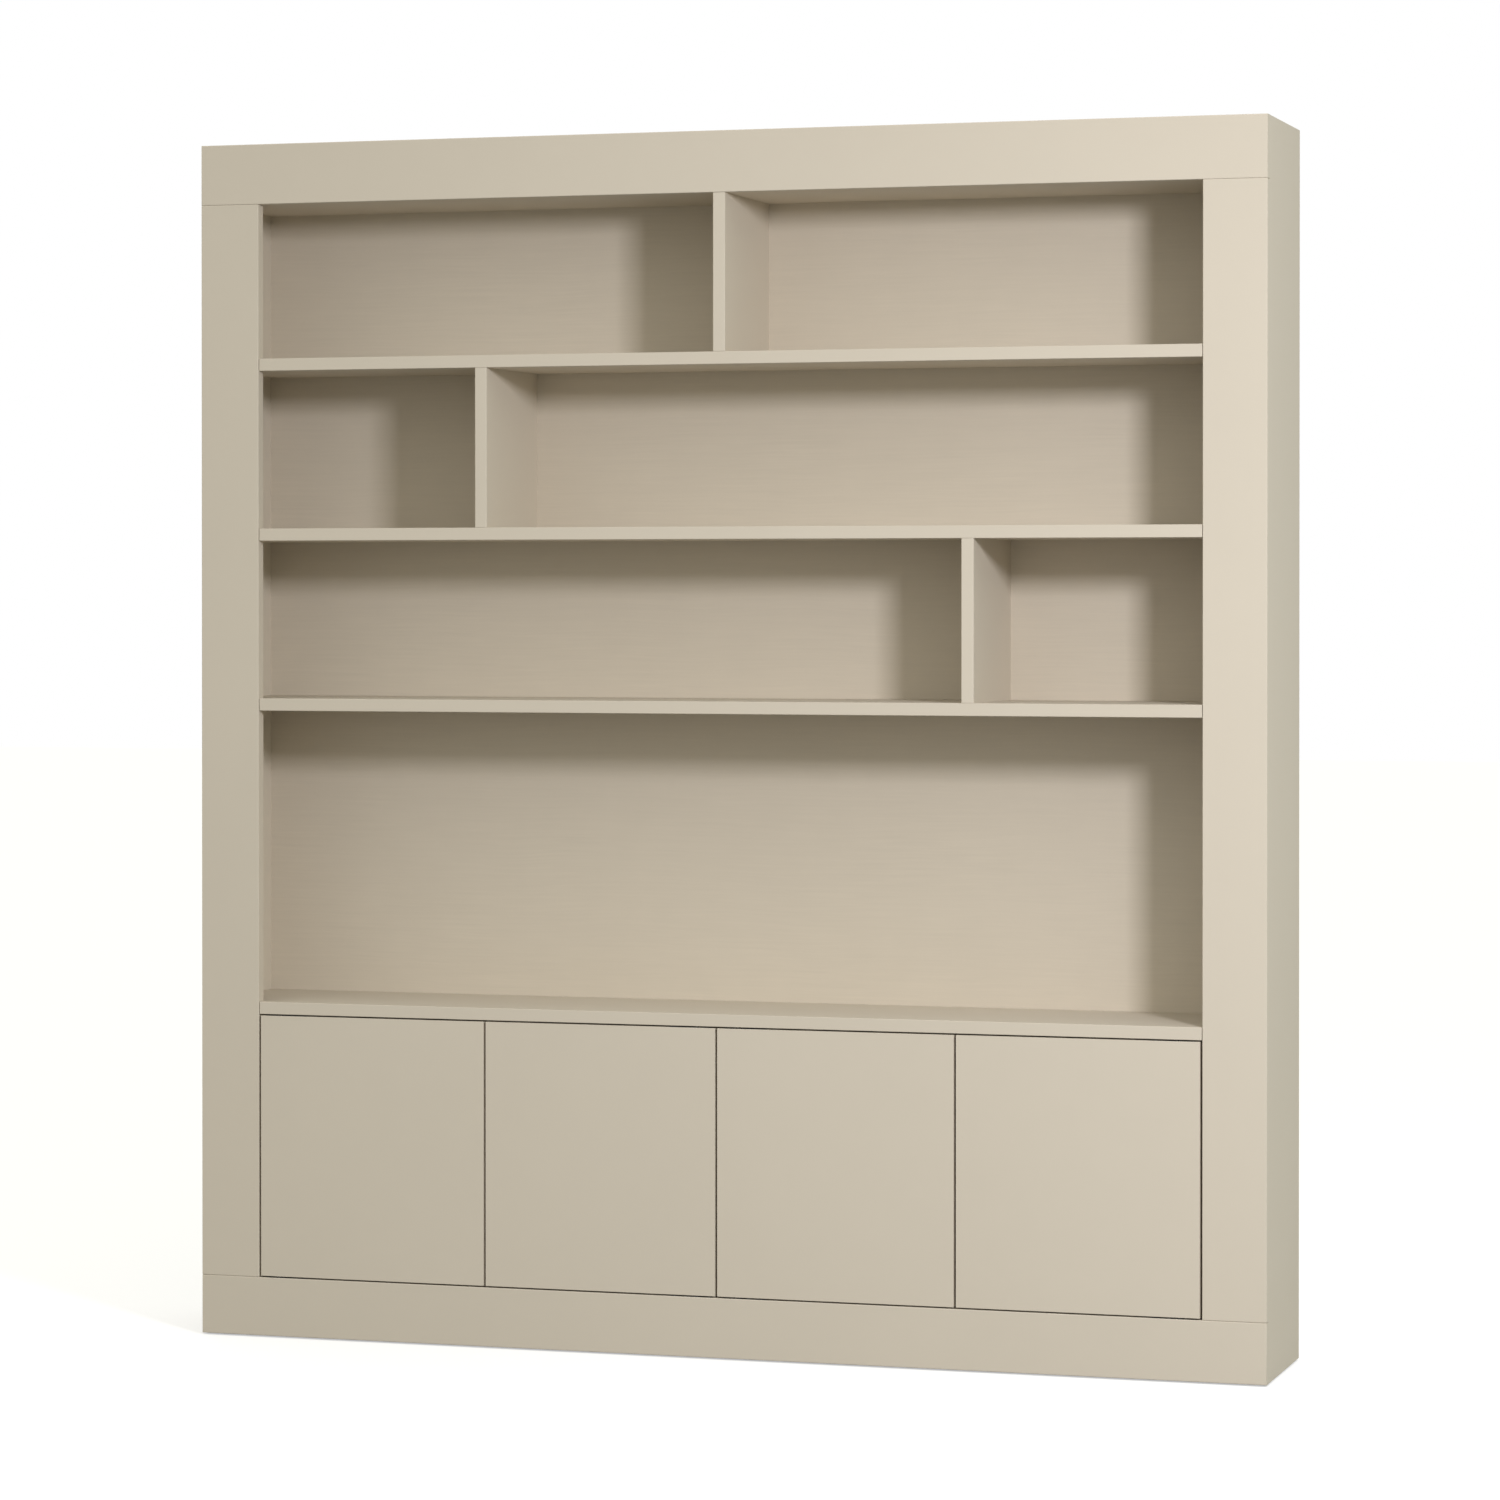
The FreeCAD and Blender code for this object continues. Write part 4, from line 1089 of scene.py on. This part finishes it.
# %% Latches
HOUSING_DEEP = 50 * MM
BORE_DEEP = 47 * MM
EAR = 17 * MM
WALL = 9 * MM
FLANGE_THICK = 3 * MM
FLANGE_SCREW = 13 * MM
HOUSING_EASE = 0.6 * MM
HOUSING_RADII = np.array([0, 0, 0.8, 1.5, 8.99, 8.99, 1.5, 0.8]) * MM
PLUNGER_SHOW = 5 * MM
PLUNGER_RADIUS = 4 * MM
PLUNGER_EASE = np.array([0, 1.6, 0.1, 0.1, 0.1, 0.1, 0.4, 0]) * MM
flange_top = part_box("latch_housings")[1].z
housings = []
latch_screws = []
for number in range(1, 5):
    low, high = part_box(f"latch_plunger_{number}")
    x, z = (low.x + high.x) / 2, (low.z + high.z) / 2
    front = low.y + PLUNGER_SHOW
    under = flange_top - FLANGE_THICK
    corners = [
        (x + EAR, flange_top), (x - EAR, flange_top), (x - EAR, under), (x - WALL, under),
        (x - WALL, z - WALL), (x + WALL, z - WALL), (x + WALL, under), (x + EAR, under),
    ]
    outline = rounded(corners, HOUSING_RADII, 10)
    body = slab(outline, front, front + HOUSING_DEEP, HOUSING_EASE, "Y")
    bore = rod_shape(PLUNGER_RADIUS + RUNNING_FIT, -BEYOND, BORE_DEEP)
    bore = placed(bore, (x, front, z), "back")
    spots = [(x + side * FLANGE_SCREW, front + HOUSING_DEEP / 2, under) for side in (-1, 1)]
    holes = [placed(sink_hole, spot, "down") for spot in spots]
    housings.append(bored("housing", body, [bore] + holes))
    latch_screws += [placed(screw, spot, "down") for spot in spots]
    long = (high.y - low.y) / MM
    section = np.array([
        (0, 0), (4, 0), (4, 4.4), (3.8, 4.8), (3.8, 9), (4, 9.4), (4, long), (0, long),
    ])
    plunger = turned(section * MM, PLUNGER_EASE, 28)
    make(f"latch_plunger_{number}", placed(plunger, (x, low.y, z), "back"))
make("latch_housings", together(housings))
make("latch_screws", together(latch_screws))
print("latches:", len(housings), "with", len(latch_screws), "screws")

# %% [markdown]
# ## Pegs
# Steel pegs carry the loose shelves. Each has a thin collar that stops it in its hole, and its
# outer end is domed.

# %% Pegs
PEG_ENDS = (-9, 9)
PEG_EASE = np.array([0, 0.5, 0.1, 0.25, 0.25, 0.1, 1.0, 0]) * MM
section = np.array([
    (0, PEG_ENDS[0]), (2.5, PEG_ENDS[0]), (2.5, 0), (3.6, 0),
    (3.6, 0.7), (2.5, 0.7), (2.5, PEG_ENDS[1]), (0, PEG_ENDS[1]),
]) * MM
peg = turned(section, PEG_EASE, 24)
pegs = []
partition_low, partition_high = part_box("cupboard_partition")
faces = (
    (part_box("side_panel_left")[1].x, "right"), (partition_low.x, "left"),
    (partition_high.x, "right"), (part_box("side_panel_right")[0].x, "left"),
)
for x, way in faces:
    pegs += [placed(peg, (x, y, peg_z), way) for y in peg_rows]
make("shelf_pegs", together(pegs))
print("pegs:", len(pegs))

# %% [markdown]
# ## Levelling feet
# Six feet stand under the cupboard's floor. A foot is a round pad with a threaded stem, made by
# the same function as the screws. Its socket is a tube with ribs: the radius rises and falls
# eight times on the way round, as a power of a cosine.

# %% Feet
STEM_CREST = 5 * MM
STEM_CORE = 4.4 * MM
STEM_PITCH = 2.5 * MM
STEM_FOOT = 7 * MM
STEM_TOP = 1 * MM
PAD_RADIUS = 20 * MM
PAD = np.array([
    (0, 0), (17.5, 0), (18.5, 0.6), (20, 1.2), (20, 4.6), (19.2, 5.6), (17, 6), (7, 6), (5, 6.6),
]) * MM
low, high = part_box("levelling_feet")
stem_high = high.z / MM
stem_end = np.array([(4.2, stem_high - 0.4), (3.4, stem_high), (0, stem_high)]) * MM
foot = threaded(
    PAD, STEM_CREST, STEM_CORE, STEM_PITCH, STEM_FOOT, high.z - STEM_TOP,
    around=24, after=stem_end,
)
spots = [
    (x, y, 0) for x in (low.x + PAD_RADIUS, 0, high.x - PAD_RADIUS)
    for y in (low.y + PAD_RADIUS, high.y - PAD_RADIUS)
]
make("levelling_feet", together([placed(foot, spot) for spot in spots]))
print("feet:", len(spots), "with stems up to", round(stem_high, 1), "mm")

# %% Sockets
TUBE_SPAN = (9 * MM, 11 * MM)
RIBS = 4
RIB_HEIGHT = 0.078
SOCKET_EASE = np.array([0.3, 0.6, 1.2, 0.8, 0.3, 0.3]) * MM
low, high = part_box("levelling_sockets")
foot_z, top_z = low.z / MM, high.z / MM
section = np.array([
    (5.05, foot_z), (10.2, foot_z), (10.2, top_z - 4), (24, top_z - 4), (24, top_z), (5.05, top_z),
]) * MM
points, faces, marks = turned(section, SOCKET_EASE, 96)
reach = np.hypot(points[:, 0], points[:, 1])
turn = np.arctan2(points[:, 1], points[:, 0])
tube = (reach > TUBE_SPAN[0]) & (reach < TUBE_SPAN[1])
swell = 1 + RIB_HEIGHT * tube * np.abs(np.cos(RIBS * turn)) ** 6
socket = points * np.stack([swell, swell, np.ones(len(points))], 1), faces, marks
make("levelling_sockets", together([placed(socket, spot) for spot in spots]))
print("sockets:", 2 * RIBS, "ribs each")

# %% [markdown]
# ## Wall brackets
# A tall unit is fixed to the wall. Each bracket is a steel strip bent to an L. Its section is an
# outline with a hollow corner inside the bend and a full one outside, carried along the wall.

# %% Brackets
low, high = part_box("wall_brackets")
METAL = 2 * MM
WIDE = 40 * MM
BRACKET_ARRIS = 0.35 * MM
WALL_HOLE_RADIUS = 3 * MM
WALL_HOLE_UP = 14 * MM
TOP_SCREW_OUT = 11 * MM
TOP_SCREW_BACK = 18 * MM
corners = [
    (low.y, low.z), (high.y, low.z), (high.y, high.z),
    (high.y - METAL, high.z), (high.y - METAL, low.z + METAL), (low.y, low.z + METAL),
]
bend = rounded(corners, np.array([0.4, 3.6, 0.4, 0.4, 1.6, 0.4]) * MM, 6)
wall_hole = rod_shape(WALL_HOLE_RADIUS, -5 * MM, 5 * MM)
brackets = []
bracket_screws = []
for start in (low.x, high.x - WIDE):
    middle = start + WIDE / 2
    spots = [
        (middle + side * TOP_SCREW_OUT, high.y - TOP_SCREW_BACK, low.z + METAL) for side in (-1, 1)
    ]
    holes = [placed(wall_hole, (middle, high.y, low.z + WALL_HOLE_UP), "back")]
    holes += [placed(sink_hole, spot) for spot in spots]
    strip = slab(bend, start, start + WIDE, BRACKET_ARRIS, "X")
    brackets.append(bored("bracket", strip, holes))
    bracket_screws += [placed(screw, spot) for spot in spots]
make("wall_brackets", together(brackets))
make("wall_bracket_screws", together(bracket_screws))
print("brackets:", len(brackets), "with", len(bracket_screws), "screws")

# %% [markdown]
# ## What stays as it was imported
# The beech dowels lie wholly inside the boards and the springs inside their housings. Their
# solids already have the right shape, so they only get their finish.

# %% Dowels and springs
for node in ("carcass_dowels", "latch_springs"):
    nodes[node].data.materials[0] = finishes[slots[node]]
    print(node, "keeps its own solid")
